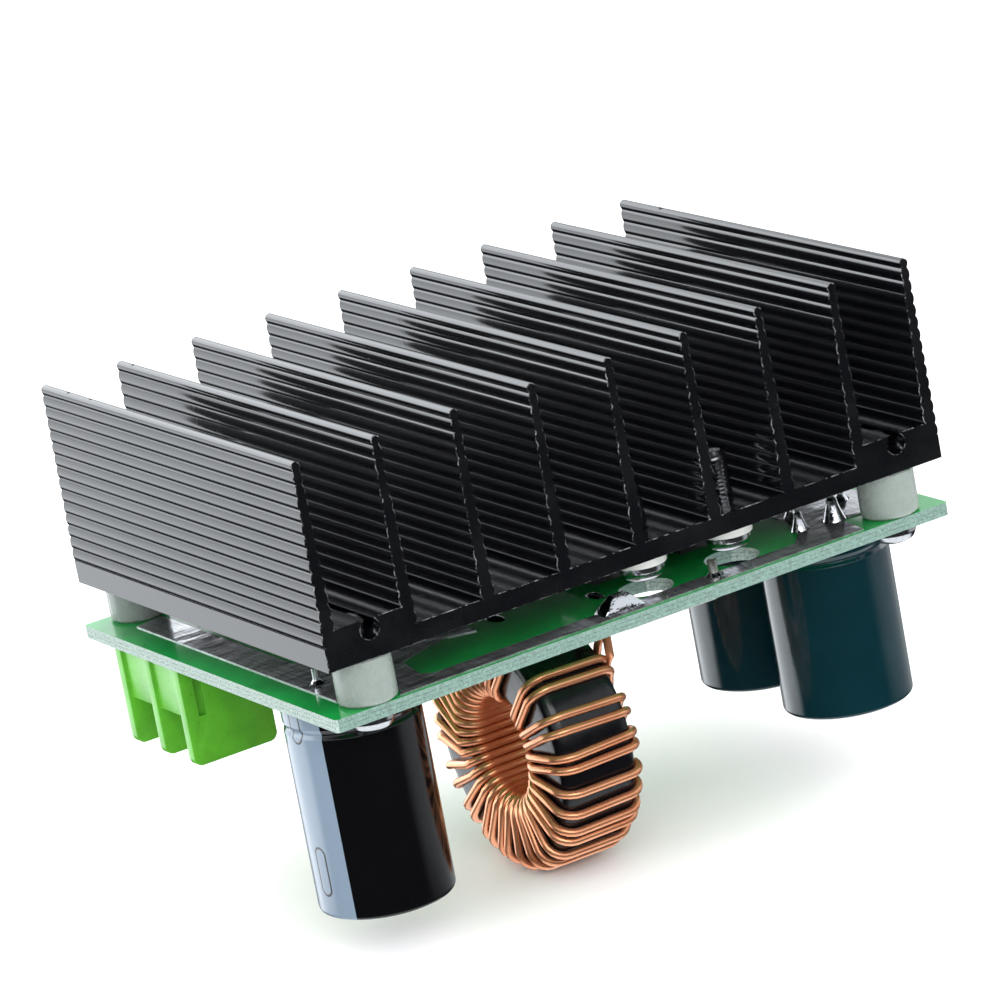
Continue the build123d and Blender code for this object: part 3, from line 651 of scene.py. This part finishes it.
def rib_side(sizes, x, side, low, high, rib_steps=6):
    """Points up one face of a fin from its foot: round ribs with sharp valleys between them."""
    def half(z):
        share = (z - sizes.base) / (high - sizes.base)
        return ((1 - share) * sizes.root + share * sizes.tip - sizes.rib) / 2

    count = int((high - low) / sizes.rib_pitch)
    step = (high - low) / count
    points = []
    for rib in range(count):
        for k in range(rib_steps):
            share = k / rib_steps
            z = low + (rib + share) * step
            points.append((x + side * (half(z) + 4 * share * (1 - share) * sizes.rib), z))
    return points + [(x + side * half(high), high)]


def port_outline(sizes, x):
    """A screw port sunk in a thick channel floor, open at its top."""
    radius = sizes.port / 2
    mouth = asin(sizes.port_depth / radius)
    start, end, steps = pi - mouth, 2 * pi + mouth, 24
    angles = [start + (end - start) * k / steps for k in range(steps + 1)]
    z = sizes.thick_base - sizes.port_depth
    return [(x + radius * cos(a), z + radius * sin(a)) for a in angles]


def heatsink_outline(sizes, height):
    """The extrusion's section from its lower left corner over the fins to the lower right one."""
    half = (sizes.fins - 1) * sizes.pitch / 2 + sizes.root / 2
    bead = sizes.bead / 2
    foot = height - sizes.bead
    floors = [sizes.base] * (sizes.fins + 1)
    floors[0] = floors[-1] = sizes.strip
    floors[1] = floors[-2] = sizes.thick_base
    points = [(-half, 0), (-half, sizes.strip)]
    for fin in range(sizes.fins):
        x = (fin - (sizes.fins - 1) / 2) * sizes.pitch
        points += rib_side(sizes, x, -1, floors[fin], foot)
        turn = [pi + BEAD_TUCK - (pi + 2 * BEAD_TUCK) * k / 12 for k in range(13)]
        points += [(x + bead * cos(a), height - bead + bead * sin(a)) for a in turn]
        points += reversed(rib_side(sizes, x, 1, floors[fin + 1], foot))
        if fin in (0, sizes.fins - 2):
            points += port_outline(sizes, x + sizes.pitch / 2)
    return points + [(half, sizes.strip), (half, 0)]


def extruded(outline, y0, y1, z0, edge):
    """A section in the XZ plane drawn out along Y, its two ends dulled all round."""
    piece = primitive("circle", vertices=len(outline), radius=MM, fill_type="NOTHING")
    for vert, (x, z) in zip(piece.data.vertices, outline):
        vert.co = (x, y0 + edge, z0 + z)
    edit(piece)
    select_everything()
    bpy.ops.mesh.edge_face_add()
    bpy.ops.mesh.extrude_region_move(TRANSFORM_OT_translate={"value": (0, y1 - y0 - 2 * edge, 0)})
    select_everything()
    bpy.ops.mesh.normals_make_consistent(inside=False)
    select_where(lambda face: abs(face.normal.y) > 0.9)
    bpy.ops.mesh.inset(thickness=edge, depth=edge, use_individual=True)
    leave()
    return piece


def build_heatsink(sizes, colours):
    low, high = box("heatsink")
    outline = heatsink_outline(sizes, high.z - low.z)
    piece = extruded(outline, low.y, high.y, low.z, sizes.edge)
    holes = []
    for node in ("switch_transistor_screw", "rectifier_diode_screw"):
        spot = upright_axis(*box(node)) + UP * low.z
        holes.append(primitive("cylinder", spot, vertices=32, radius=CLAMP_HOLE * MM, depth=3 * sizes.base))
    for x, y, radius in NICKS:
        spot = Vector((x * MM, y * MM, high.z + NICK_RISE * MM))
        holes.append(primitive("ico_sphere", spot, subdivisions=2, radius=radius * MM))
    cut(piece, joined(holes))
    smooth(piece, 40)
    settle(piece, "heatsink_extrusion", anodised_finish(colours), "anodised_aluminium", "heatsink")


# Height of the bead over the strands, and how uneven the long lump is, in millimetres
SEAM_HEIGHT = 0.35
LUMP_SWAY = 0.16


def solder_cone(low, high, fill=1.4):
    """A cone of solder round the end of a lead, pointing away from the board's side."""
    root, height = (high.y - low.y) / 2, high.z - low.z
    neck = 0.45 * root
    outline = [(root, low.z)]
    for k in range(1, 8):
        share = k / 8
        outline.append((neck + (root - neck) * (1 - share) ** fill, low.z + height * (0.85 * share)))
    outline += [(neck, low.z + height * 0.88), (neck * 0.6, low.z + height), (0, low.z + height)]
    return turned(outline, upright_axis(low, high), steps=24)


def solder_seam(low, high):
    """A low narrow bead of solder over the row of strands at an end of the winding."""
    piece = solder_cone(low, Vector((high.x, high.y, low.z + SEAM_HEIGHT * MM)), 0.6)
    edit(piece)
    select_everything()
    bpy.ops.transform.resize(value=(0.45, 0.9, 1), center_override=(low + high) / 2)
    leave()
    return piece


def solder_pyramid(low, high):
    """A long lump of solder with flat sides and a short ridge."""
    piece = block(low, high)
    edit(piece)
    select_where(lambda face: face.normal.z > 0.9)
    bpy.ops.transform.resize(value=(0.34, 0.42, 1), center_override=upright_axis(low, high) + UP * high.z)
    select_everything()
    bpy.ops.mesh.subdivide(number_cuts=2)
    select_where(lambda vert: low.z + 0.1 * MM < vert.co.z < high.z - 0.1 * MM, "VERT")
    bpy.ops.transform.vertex_random(offset=LUMP_SWAY * MM, seed=5)
    leave()
    modify(piece, "BEVEL", width=0.12 * MM, segments=2, limit_method="ANGLE", angle_limit=radians(25))
    return piece


def flipped(piece):
    """The same piece upside down about the board's lower face."""
    choose(piece)
    piece.scale = (1, 1, -1)
    bpy.ops.object.transform_apply()
    edit(piece)
    tidy_mesh()
    leave()
    return piece


def build_board(colours):
    """Finishes the board and its tracks, and adds each joint where the frame has its cap."""
    dress("circuit_board", laminate_finish(colours))
    dress("tinned_tracks", track_finish(colours))
    board_high = box("circuit_board")[1]
    lumps = []
    for low, high in loose_parts("solder_joints"):
        long, wide = high.x - low.x, high.y - low.y
        if high.z < board_high.z:
            mirrored = Vector((low.x, low.y, -high.z)), Vector((high.x, high.y, -low.z))
            lumps.append(flipped(solder_cone(*mirrored)))
        elif long > 1.8 * wide:
            lumps.append(solder_pyramid(low, high))
        elif long > 4 * MM:
            lumps.append(solder_seam(low, high))
        else:
            lumps.append(solder_cone(low, high))
    piece = joined(lumps)
    smooth(piece, 28)
    settle(piece, "solder_cones", solder_finish(colours), "solder", "solder_joints")


# The screws' thread: diameter, pitch and depth in millimetres, and the cross recess in their heads
THREAD, THREAD_PITCH, THREAD_DEPTH = 3.0, 0.5, 0.3
RECESS_WIDTH, RECESS_DEPTH, RECESS_REACH = 0.75, 0.9, 0.55
HEAD_HEIGHTS = {"corner_screws": 2.0, "switch_transistor_screw": 2.0, "rectifier_diode_screw": 2.0,
                "input_terminal_screws": 1.8, "output_terminal_screws": 1.8}


def screw_shape(head_low, head_d, head_h, shank_l):
    """A pan head screw pointing up: domed head, cross recess and a real thread."""
    head, shank = head_d / 2, THREAD / 2 * MM
    core = shank - THREAD_DEPTH * MM
    seat = head_low + head_h
    outline = [(0, head_low), (head * 0.5, head_low), (head * 0.86, head_low + head_h * 0.22),
               (head, head_low + head_h * 0.62), (head, seat), (core, seat),
               (core, seat + shank_l - 0.4 * MM), (core - 0.35 * MM, seat + shank_l), (0, seat + shank_l)]
    radii = [0.4 * MM, 0.9 * MM, 0.6 * MM, 0.1 * MM, 0, 0, 0]
    body = turned(rounded(outline, radii), Vector((0, 0, 0)), steps=40)
    arm, width = head_d * RECESS_REACH, RECESS_WIDTH * MM
    for wide, deep in ((arm, width), (width, arm)):
        half = Vector((wide / 2, deep / 2, 0))
        cut(body, block(UP * (head_low - MM) - half, UP * (head_low + RECESS_DEPTH * MM) + half))
    foot = core - 0.05 * MM
    tooth = ((foot, seat), (foot, seat + 0.42 * MM), (shank, seat + 0.21 * MM))
    ridge = draw([Vector((x, 0, z)) for x, z in tooth], closed=True)
    leave()
    turns = int((shank_l - 0.7 * MM) / (THREAD_PITCH * MM))
    modify(ridge, "SCREW", angle=2 * pi, screw_offset=THREAD_PITCH * MM, iterations=turns, steps=20,
           render_steps=20, use_merge_vertices=True, merge_threshold=0.001 * MM)
    edit(ridge)
    bpy.ops.mesh.select_all(action="DESELECT")
    bpy.ops.mesh.select_non_manifold()
    bpy.ops.mesh.fill()
    tidy_mesh(0.0005)
    leave()
    return joined([body, ridge])


def build_screws(colours):
    """Corner screws, clamp screws and terminal screws, each kind modelled once and copied."""
    plated = metal_finish("plated_steel", colours.metal[:], 0.1, 0.24)
    for node, head_h in HEAD_HEIGHTS.items():
        parts = loose_parts(node)
        low, high = parts[0]
        first = screw_shape(low.z, high.x - low.x, head_h * MM, high.z - low.z - head_h * MM)
        copies = []
        for part in parts:
            choose(first)
            bpy.ops.object.duplicate()
            bpy.ops.transform.translate(value=upright_axis(*part))
            copies.append(active())
        bpy.data.objects.remove(first)
        piece = joined(copies)
        smooth(piece, 35)
        settle(piece, node + "_threaded", plated, "plated_steel", node)


def build_spacers(colours):
    nylon = nylon_finish(colours)
    for number in range(1, 5):
        node = f"spacer_{number}"
        low, high = box(node)
        outer, inner, ease = (high.x - low.x) / 2, 1.6 * MM, 0.35 * MM
        outline = [(inner, low.z), (outer - ease, low.z), (outer, low.z + ease), (outer, high.z - ease),
                   (outer - ease, high.z), (inner, high.z)]
        piece = turned(rounded(outline, 0.2 * MM, 3), upright_axis(low, high), steps=56, closed=True)
        smooth(piece)
        settle(piece, f"nylon_spacer_{number}", nylon, "white_nylon", node)


def build_power_devices(colours):
    moulding = plastic_finish("black_moulding", linear("17181a"), 0.45, 0.62, 0.3, 0.02)
    pad = plastic_finish("pad_silicone", linear("8f9396"), 0.6, 0.75, 0.6, 0.02)
    tinned = metal_finish("tinned_metal", linear("b9babd"), 0.22, 0.42, 0.8, (1, 0.2, 1))
    nylon = plastic_finish("bush_nylon", linear("d9dcd9"), 0.4, 0.55)
    for name in ("switch_transistor", "rectifier_diode"):
        eased(name + "_body", name + "_case", moulding, "black_moulding", 0.18)
        eased(name + "_frame", name + "_tab_and_legs", tinned, "tinned_metal", 0.05, 1)
        eased(name + "_bush", name + "_sleeve_washer", nylon, "white_nylon", 0.08)
        dress(name + "_pad", pad)


def build_core(sizes, colours):
    low, high = box("inductor_core")
    outer, half, inner = (high.z - low.z) / 2, (high.x - low.x) / 2, sizes.bore / 2
    side = [(inner, 0), (inner, -half), (outer, -half), (outer, half), (inner, half), (inner, 0)]
    outline = rounded(side, sizes.edge, 6)
    piece = turned(outline, middle("inductor_core"), axis=Vector((1, 0, 0)), steps=96)
    smooth(piece)
    finish = plastic_finish("coated_core", colours.core[:], 0.16, 0.26, 1.4, 0.03, coat=0.1, specular=0.35)
    settle(piece, "inductor_ring", finish, "coated_core", "inductor_core")


# Angle of each strand on the core's rim, in degrees from +Y towards the board, in winding order
RIM_LAY = (91.5, 84.5, 75.0, 68.0, 57.5, 50.5, 41.0, 33.5, 24.5, 15.4, 4.0, -4.4, -19.5, -29.6, -41.7, -48.9,
           -60.5, -67.9, -76.9, -82.8, -94.5, -106.5, -116.9, -126.8, -139.6, -146.3, -156.9, -167.8, -180.0,
           -185.9, -196.9, -203.9, -217.6, -223.7)


def wire_route(sizes, strand, centre, radii, half, board_top):
    """The way of one strand: up out of the board, through all its turns and back to the board."""
    bore, rim = radii
    bend = sizes.edge + sizes.wire / 2 + sizes.gap
    step = (2 * pi - sizes.bare) / (sizes.turns * sizes.strands)
    points = []

    def at(r, a, angle):
        points.append(centre + Vector((a, r * cos(angle), r * sin(angle))))

    def corner(r, a, towards_r, towards_a, angle, leaving):
        """A quarter round at a corner of the core's section."""
        for k in range(6):
            t = (k if leaving else 5 - k) / 5 * pi / 2
            at(r + towards_r * bend * (1 - sin(t)), a + towards_a * bend * (1 - cos(t)), angle)

    def lead(side, angle):
        """From the bore across one face of the core and up into the board, or the other way."""
        first = len(points)
        at(bore, 0, angle)
        corner(bore, side * half, 1, -side, angle, False)
        at(rim - sizes.wire, side * half, angle - side * sizes.lean)
        at(rim, side * half, angle - side * sizes.lean)
        top = points[-1].copy()
        points.append(Vector((top.x, top.y, top.z + sizes.wire)))
        points.append(Vector((top.x, top.y, board_top)))
        if side < 0:
            points[first:] = reversed(points[first:])

    def bore_angle(turn):
        return sizes.start - (turn * sizes.strands + strand) * step

    lead(-1, bore_angle(0))
    for turn in range(sizes.turns):
        start, end = bore_angle(turn), bore_angle(turn + 1)
        lay = radians(RIM_LAY[(turn * sizes.strands + strand) % len(RIM_LAY)])
        tilt = radians(random.uniform(-0.5, 0.5))
        corner(bore, half, 1, -1, start, False)
        corner(rim, half, -1, -1, lay + tilt, True)
        corner(rim, -half, -1, 1, lay - tilt, False)
        corner(bore, -half, 1, 1, end, True)
        at(bore, 0, end)
    lead(1, bore_angle(sizes.turns))
    return points


def build_winding(sizes, colours):
    """Two enamelled strands wound side by side, each one wire from end to end."""
    random.seed(4)
    low, high = box("inductor_core")
    centre = middle("inductor_core")
    reach = sizes.wire / 2 + sizes.gap
    radii = (sizes.bore / 2 - reach, (high.z - low.z) / 2 + reach)
    half = (high.x - low.x) / 2 + reach
    board_top = box("circuit_board")[1].z
    curve = bpy.data.curves.new("strands", "CURVE")
    curve.dimensions = "3D"
    curve.bevel_depth = sizes.wire / 2
    curve.bevel_resolution = 4
    curve.use_fill_caps = True
    for strand in range(sizes.strands):
        route = wire_route(sizes, strand, centre, radii, half, board_top)
        spline = curve.splines.new("POLY")
        spline.points.add(len(route) - 1)
        for point, place in zip(spline.points, route):
            point.co = (*place, 1)
    piece = bpy.data.objects.new("strands", curve)
    bpy.context.scene.collection.objects.link(piece)
    choose(piece)
    bpy.ops.object.convert(target="MESH")
    piece = active()
    smooth(piece, 60)
    settle(piece, "inductor_strands", copper_finish(colours), "enamelled_copper", "inductor_winding")


# How deep the rubber bung lies and how wide the can's seat on the board is, in millimetres
BUNG_DEPTH, SEAT_WIDTH = 1.6, 1.3


def can_outline(sizes, radius, foot):
    """From the middle of the board side round the shoulder, the crimp, the wall and the lip."""
    mouth = radius - SEAT_WIDTH * MM
    g0, g1 = sizes.groove - sizes.groove_width / 2, sizes.groove + sizes.groove_width / 2
    top = -BUNG_DEPTH * MM
    outline = [(0, top), (mouth, top), (mouth, 0), (radius, 0), (radius, -g0),
               (radius - sizes.groove_depth, -sizes.groove), (radius, -g1), (radius, foot),
               (radius - sizes.lip, foot), (radius - sizes.lip, foot + sizes.inset),
               (0, foot + sizes.inset)]
    radii = [0, 0.2 * MM, sizes.shoulder, 0.3 * MM, 0.4 * MM, 0.3 * MM, sizes.shoulder, 0.25 * MM, 0.1 * MM]
    return rounded(outline, radii, 5)


def build_capacitors(sizes, colours):
    rubber = plastic_finish("black_rubber", linear("141414"), 0.6, 0.75, 0.4, 0.02)
    bare = metal_finish("bare_aluminium", linear("cfd0d2"), 0.28, 0.42, 0.5)
    tinned = metal_finish("lead_tin", linear("dadbdd"), 0.26, 0.4)
    black, teal = colours.black_sleeve[:], colours.teal_sleeve[:]
    plain_teal = ("teal_sleeve", teal, teal, 90, 0, ())
    looks = (("input_capacitor", "black_sleeve", black, colours.stripe[:], 187, 54, (-1.2, -20.4)),
             ("output_capacitor_1", *plain_teal), ("output_capacitor_2", *plain_teal))
    for name, slot, base, stripe, stripe_at, stripe_width, capsules in looks:
        low, high = box(name + "_can")
        radius, spot = (high.x - low.x) / 2, upright_axis(low, high)
        piece = turned(can_outline(sizes, radius, low.z), spot, steps=96)
        smooth(piece)
        finish = sleeve_finish(name + "_sleeve", base, stripe, spot, radius, stripe_at, stripe_width, capsules)
        settle(piece, name + "_sleeved_can", finish, slot, name + "_can")
        dress(name + "_end", bare)
        dress(name + "_bung", rubber)
        dress(name + "_leads", tinned)


def build_terminals(colours):
    green = plastic_finish("green_moulding", colours.green[:], 0.26, 0.4, 0.5, 0.006, coat=0.15)
    tinned = metal_finish("contact_tin", linear("c6c7ca"), 0.2, 0.36)
    for name in ("input_terminal", "output_terminal"):
        eased(name + "_housing", name + "_barrier", green, "green_moulding", 0.22, 3)
        eased(name + "_contacts", name + "_contact_plates", tinned, "tinned_metal", 0.08)


def build_small_parts(colours):
    """The trimmer, the controller chip and the chip parts on the component side."""
    moulding = plastic_finish("chip_moulding", linear("1b1c1e"), 0.5, 0.65, 0.25, 0.02)
    blue = plastic_finish("blue_moulding", linear("1d4fb0"), 0.32, 0.46)
    brown = plastic_finish("brown_ceramic", linear("8a6a4a"), 0.4, 0.55)
    tinned = metal_finish("leg_tin", linear("bfc0c3"), 0.2, 0.36)
    alloy = metal_finish("resistance_alloy", linear("c9c6c0"), 0.26, 0.42)
    brass = metal_finish("brass", linear("c9a45a"), 0.2, 0.34)
    eased("trimmer_body", "trimmer_case", blue, "blue_moulding", 0.15)
    eased("trimmer_screw", "trimmer_slotted_screw", brass, "brass", 0.08, body=SCREW_BODY)
    eased("controller_chip", "controller_case", moulding, "black_moulding", 0.06)
    eased("ceramic_capacitors", "ceramic_capacitor_blocks", brown, "brown_ceramic", 0.12)
    eased("chip_resistors", "chip_resistor_blocks", moulding, "black_moulding", 0.05)
    dress("controller_chip_legs", tinned)
    dress("trimmer_pins", tinned)
    eased("current_shunt", "shunt_wire", alloy, "resistance_alloy", 0)


# Stage

CAMERA_PLACE = Vector((-333.3, -626.8, 213.4)) * MM
CAMERA_AIM = Vector((0.45143, 0.84869, -0.27556))
CAMERA_ROLL = -10.63
CAMERA_LENS = 217.5
FLOOR_REACH = 6.0
# Name, place in millimetres, width, height and brightness of each panel, all turned to the middle
LIGHTS = (
    ("top_panel", (40, 20, 620), 460, 460, 0.9),
    ("front_panel", (-170, -560, 330), 480, 200, 4.0),
    ("right_panel", (620, 60, 120), 240, 420, 1.6),
)
# Directions of the room's walls: the bright one that the fins mirror, one behind and one beside the cans
BRIGHT_SIDE = (-0.47, 0.883, 0.0)
BACK_SIDE = (0.26, 0.966, 0.0)
FAINT_SIDE = (0.996, -0.087, 0.0)


def add_camera():
    deselect()
    bpy.ops.object.camera_add(location=CAMERA_PLACE)
    camera = active()
    camera.rotation_mode = "QUATERNION"
    camera.rotation_quaternion = CAMERA_AIM.to_track_quat("-Z", "Y") @ Quaternion(UP, radians(CAMERA_ROLL))
    camera.data.lens = CAMERA_LENS
    camera.data.clip_end = 50
    bpy.context.scene.camera = camera


def add_floor():
    """A wide pale floor just under the lowest pieces."""
    deselect()
    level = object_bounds()[0][2]
    bpy.ops.mesh.primitive_plane_add(size=2 * FLOOR_REACH, location=(0, 0, level - 0.02 * MM))
    floor = active()
    floor.name = "floor"
    floor.visible_glossy = False
    finish = Finish("floor", (0.94, 0.94, 0.94), 0.7, specular=0.1)
    finish.set("Roughness", finish.spread(finish.noise(40), 0.65, 0.75))
    floor.data.materials.append(finish.material)
    floor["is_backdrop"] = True


def add_lights():
    for name, place, width, height, brightness in LIGHTS:
        deselect()
        bpy.ops.object.light_add(type="AREA", location=Vector(place) * MM)
        light = active()
        light.name = name
        light.rotation_euler = (-Vector(place)).to_track_quat("-Z", "Y").to_euler()
        light.data.shape = "RECTANGLE"
        light.data.size = width * MM
        light.data.size_y = height * MM
        light.data.energy = brightness * pi * width * height * MM * MM


def add_world():
    """White to the camera, a dark room with bright walls and floor in mirrors, plain light otherwise."""
    world = bpy.data.worlds.new("room")
    bpy.context.scene.world = world
    world.use_nodes = True
    room = Nodes(world.node_tree)
    room.tree.nodes.clear()

    def rise(value, start, end, low, high):
        return room.node("ShaderNodeMapRange", {"interpolation_type": "SMOOTHSTEP"},
                         (value, start, end, low, high)).outputs[0]

    def towards(side):
        return room.node("ShaderNodeVectorMath", {"operation": "DOT_PRODUCT"}, (way, side)).outputs["Value"]

    way = room.node("ShaderNodeTexCoord").outputs["Generated"]
    level = room.split(way)[2]
    bright, faint, back = towards(BRIGHT_SIDE), towards(FAINT_SIDE), towards(BACK_SIDE)
    low_band = room.times(rise(level, -0.44, -0.35, 0.0, 1.0), rise(level, 0.07, 0.15, 1.0, 0.0))
    sky_band = room.times(rise(level, 0.09, 0.18, 0.0, 1.0), rise(level, 0.5, 0.62, 1.0, 0.0))
    low_light = room.math("MAXIMUM", rise(bright, 0.76, 0.88, 0.0, 2.5), rise(back, 0.45, 0.75, 0.0, 0.4))
    walls = rise(level, -0.62, -0.75, 0.03, 1.4)
    for band, light in ((low_band, low_light), (sky_band, rise(bright, 0.52, 0.75, 1.2, 4.8)),
                        (low_band, rise(faint, 0.66, 0.9, 0.0, 0.5))):
        walls = room.math("ADD", walls, room.times(band, light))
    mirrored, plain_light, white = (
        room.node("ShaderNodeBackground", None, (tint, strength)).outputs[0]
        for tint, strength in (((0.92, 0.96, 1, 1), walls), ((1, 1, 1, 1), 1.9), ((1, 1, 1, 1), 1.0)))
    rays = room.node("ShaderNodeLightPath").outputs
    inner = room.node("ShaderNodeMixShader", None, (rays["Is Glossy Ray"], plain_light, mirrored))
    outer = room.node("ShaderNodeMixShader", None, (rays["Is Camera Ray"], inner.outputs[0], white))
    room.node("ShaderNodeOutputWorld", None, (outer.outputs[0],))


# Operators and panel


class CONVERTER_OT_heatsink(Operator):
    """Builds the finned heatsink"""
    bl_idname = "converter.heatsink"
    bl_label = "Heatsink"

    def execute(self, context):
        build_heatsink(context.scene.converter_heatsink, context.scene.converter_colours)
        return {"FINISHED"}


class CONVERTER_OT_board(Operator):
    """Finishes the circuit board, its tracks and its solder joints"""
    bl_idname = "converter.board"
    bl_label = "Board and solder"

    def execute(self, context):
        build_board(context.scene.converter_colours)
        return {"FINISHED"}


class CONVERTER_OT_fixings(Operator):
    """Builds the spacers and all screws"""
    bl_idname = "converter.fixings"
    bl_label = "Spacers and screws"

    def execute(self, context):
        build_spacers(context.scene.converter_colours)
        build_screws(context.scene.converter_colours)
        return {"FINISHED"}


class CONVERTER_OT_power_devices(Operator):
    """Finishes the two devices clamped under the heatsink"""
    bl_idname = "converter.power_devices"
    bl_label = "Power devices"

    def execute(self, context):
        build_power_devices(context.scene.converter_colours)
        return {"FINISHED"}


class CONVERTER_OT_inductor(Operator):
    """Builds the coated core and its two-strand winding"""
    bl_idname = "converter.inductor"
    bl_label = "Inductor"

    def execute(self, context):
        build_core(context.scene.converter_inductor, context.scene.converter_colours)
        build_winding(context.scene.converter_inductor, context.scene.converter_colours)
        return {"FINISHED"}


class CONVERTER_OT_capacitors(Operator):
    """Builds the three sleeved capacitors"""
    bl_idname = "converter.capacitors"
    bl_label = "Capacitors"

    def execute(self, context):
        build_capacitors(context.scene.converter_capacitors, context.scene.converter_colours)
        return {"FINISHED"}


class CONVERTER_OT_terminals(Operator):
    """Builds the two barrier terminals"""
    bl_idname = "converter.terminals"
    bl_label = "Terminals"

    def execute(self, context):
        build_terminals(context.scene.converter_colours)
        return {"FINISHED"}


class CONVERTER_OT_small_parts(Operator):
    """Builds the trimmer and the chips on the component side"""
    bl_idname = "converter.small_parts"
    bl_label = "Trimmer and chips"

    def execute(self, context):
        build_small_parts(context.scene.converter_colours)
        return {"FINISHED"}


class CONVERTER_OT_stage(Operator):
    """Sets the camera, floor, lights and room"""
    bl_idname = "converter.stage"
    bl_label = "Stage"

    def execute(self, context):
        add_camera()
        add_floor()
        add_lights()
        add_world()
        context.scene.view_settings.view_transform = "Standard"
        return {"FINISHED"}


OPERATORS = (
    CONVERTER_OT_heatsink,
    CONVERTER_OT_board,
    CONVERTER_OT_fixings,
    CONVERTER_OT_power_devices,
    CONVERTER_OT_inductor,
    CONVERTER_OT_capacitors,
    CONVERTER_OT_terminals,
    CONVERTER_OT_small_parts,
    CONVERTER_OT_stage,
)


class CONVERTER_PT_panel(Panel):
    """Sizes, colours and building steps of the module"""
    bl_idname = "CONVERTER_PT_panel"
    bl_label = "Boost converter module"
    bl_space_type = "VIEW_3D"
    bl_region_type = "UI"
    bl_category = "Converter"

    def draw(self, context):
        for name, group in GROUPS.items():
            column = self.layout.box().column()
            for field in group.__annotations__:
                column.prop(getattr(context.scene, name), field)
        for operator in OPERATORS:
            self.layout.operator(operator.bl_idname)


def register():
    for kind in (*GROUPS.values(), *OPERATORS, CONVERTER_PT_panel):
        bpy.utils.register_class(kind)
    for name, group in GROUPS.items():
        setattr(bpy.types.Scene, name, PointerProperty(type=group))


def unregister():
    for name in GROUPS:
        delattr(bpy.types.Scene, name)
    for kind in reversed((*GROUPS.values(), *OPERATORS, CONVERTER_PT_panel)):
        bpy.utils.unregister_class(kind)


def main():
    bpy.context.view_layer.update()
    register()
    for operator in OPERATORS:
        getattr(bpy.ops.converter, operator.bl_idname.split(".")[1])()


if __name__ == "__main__":
    main()
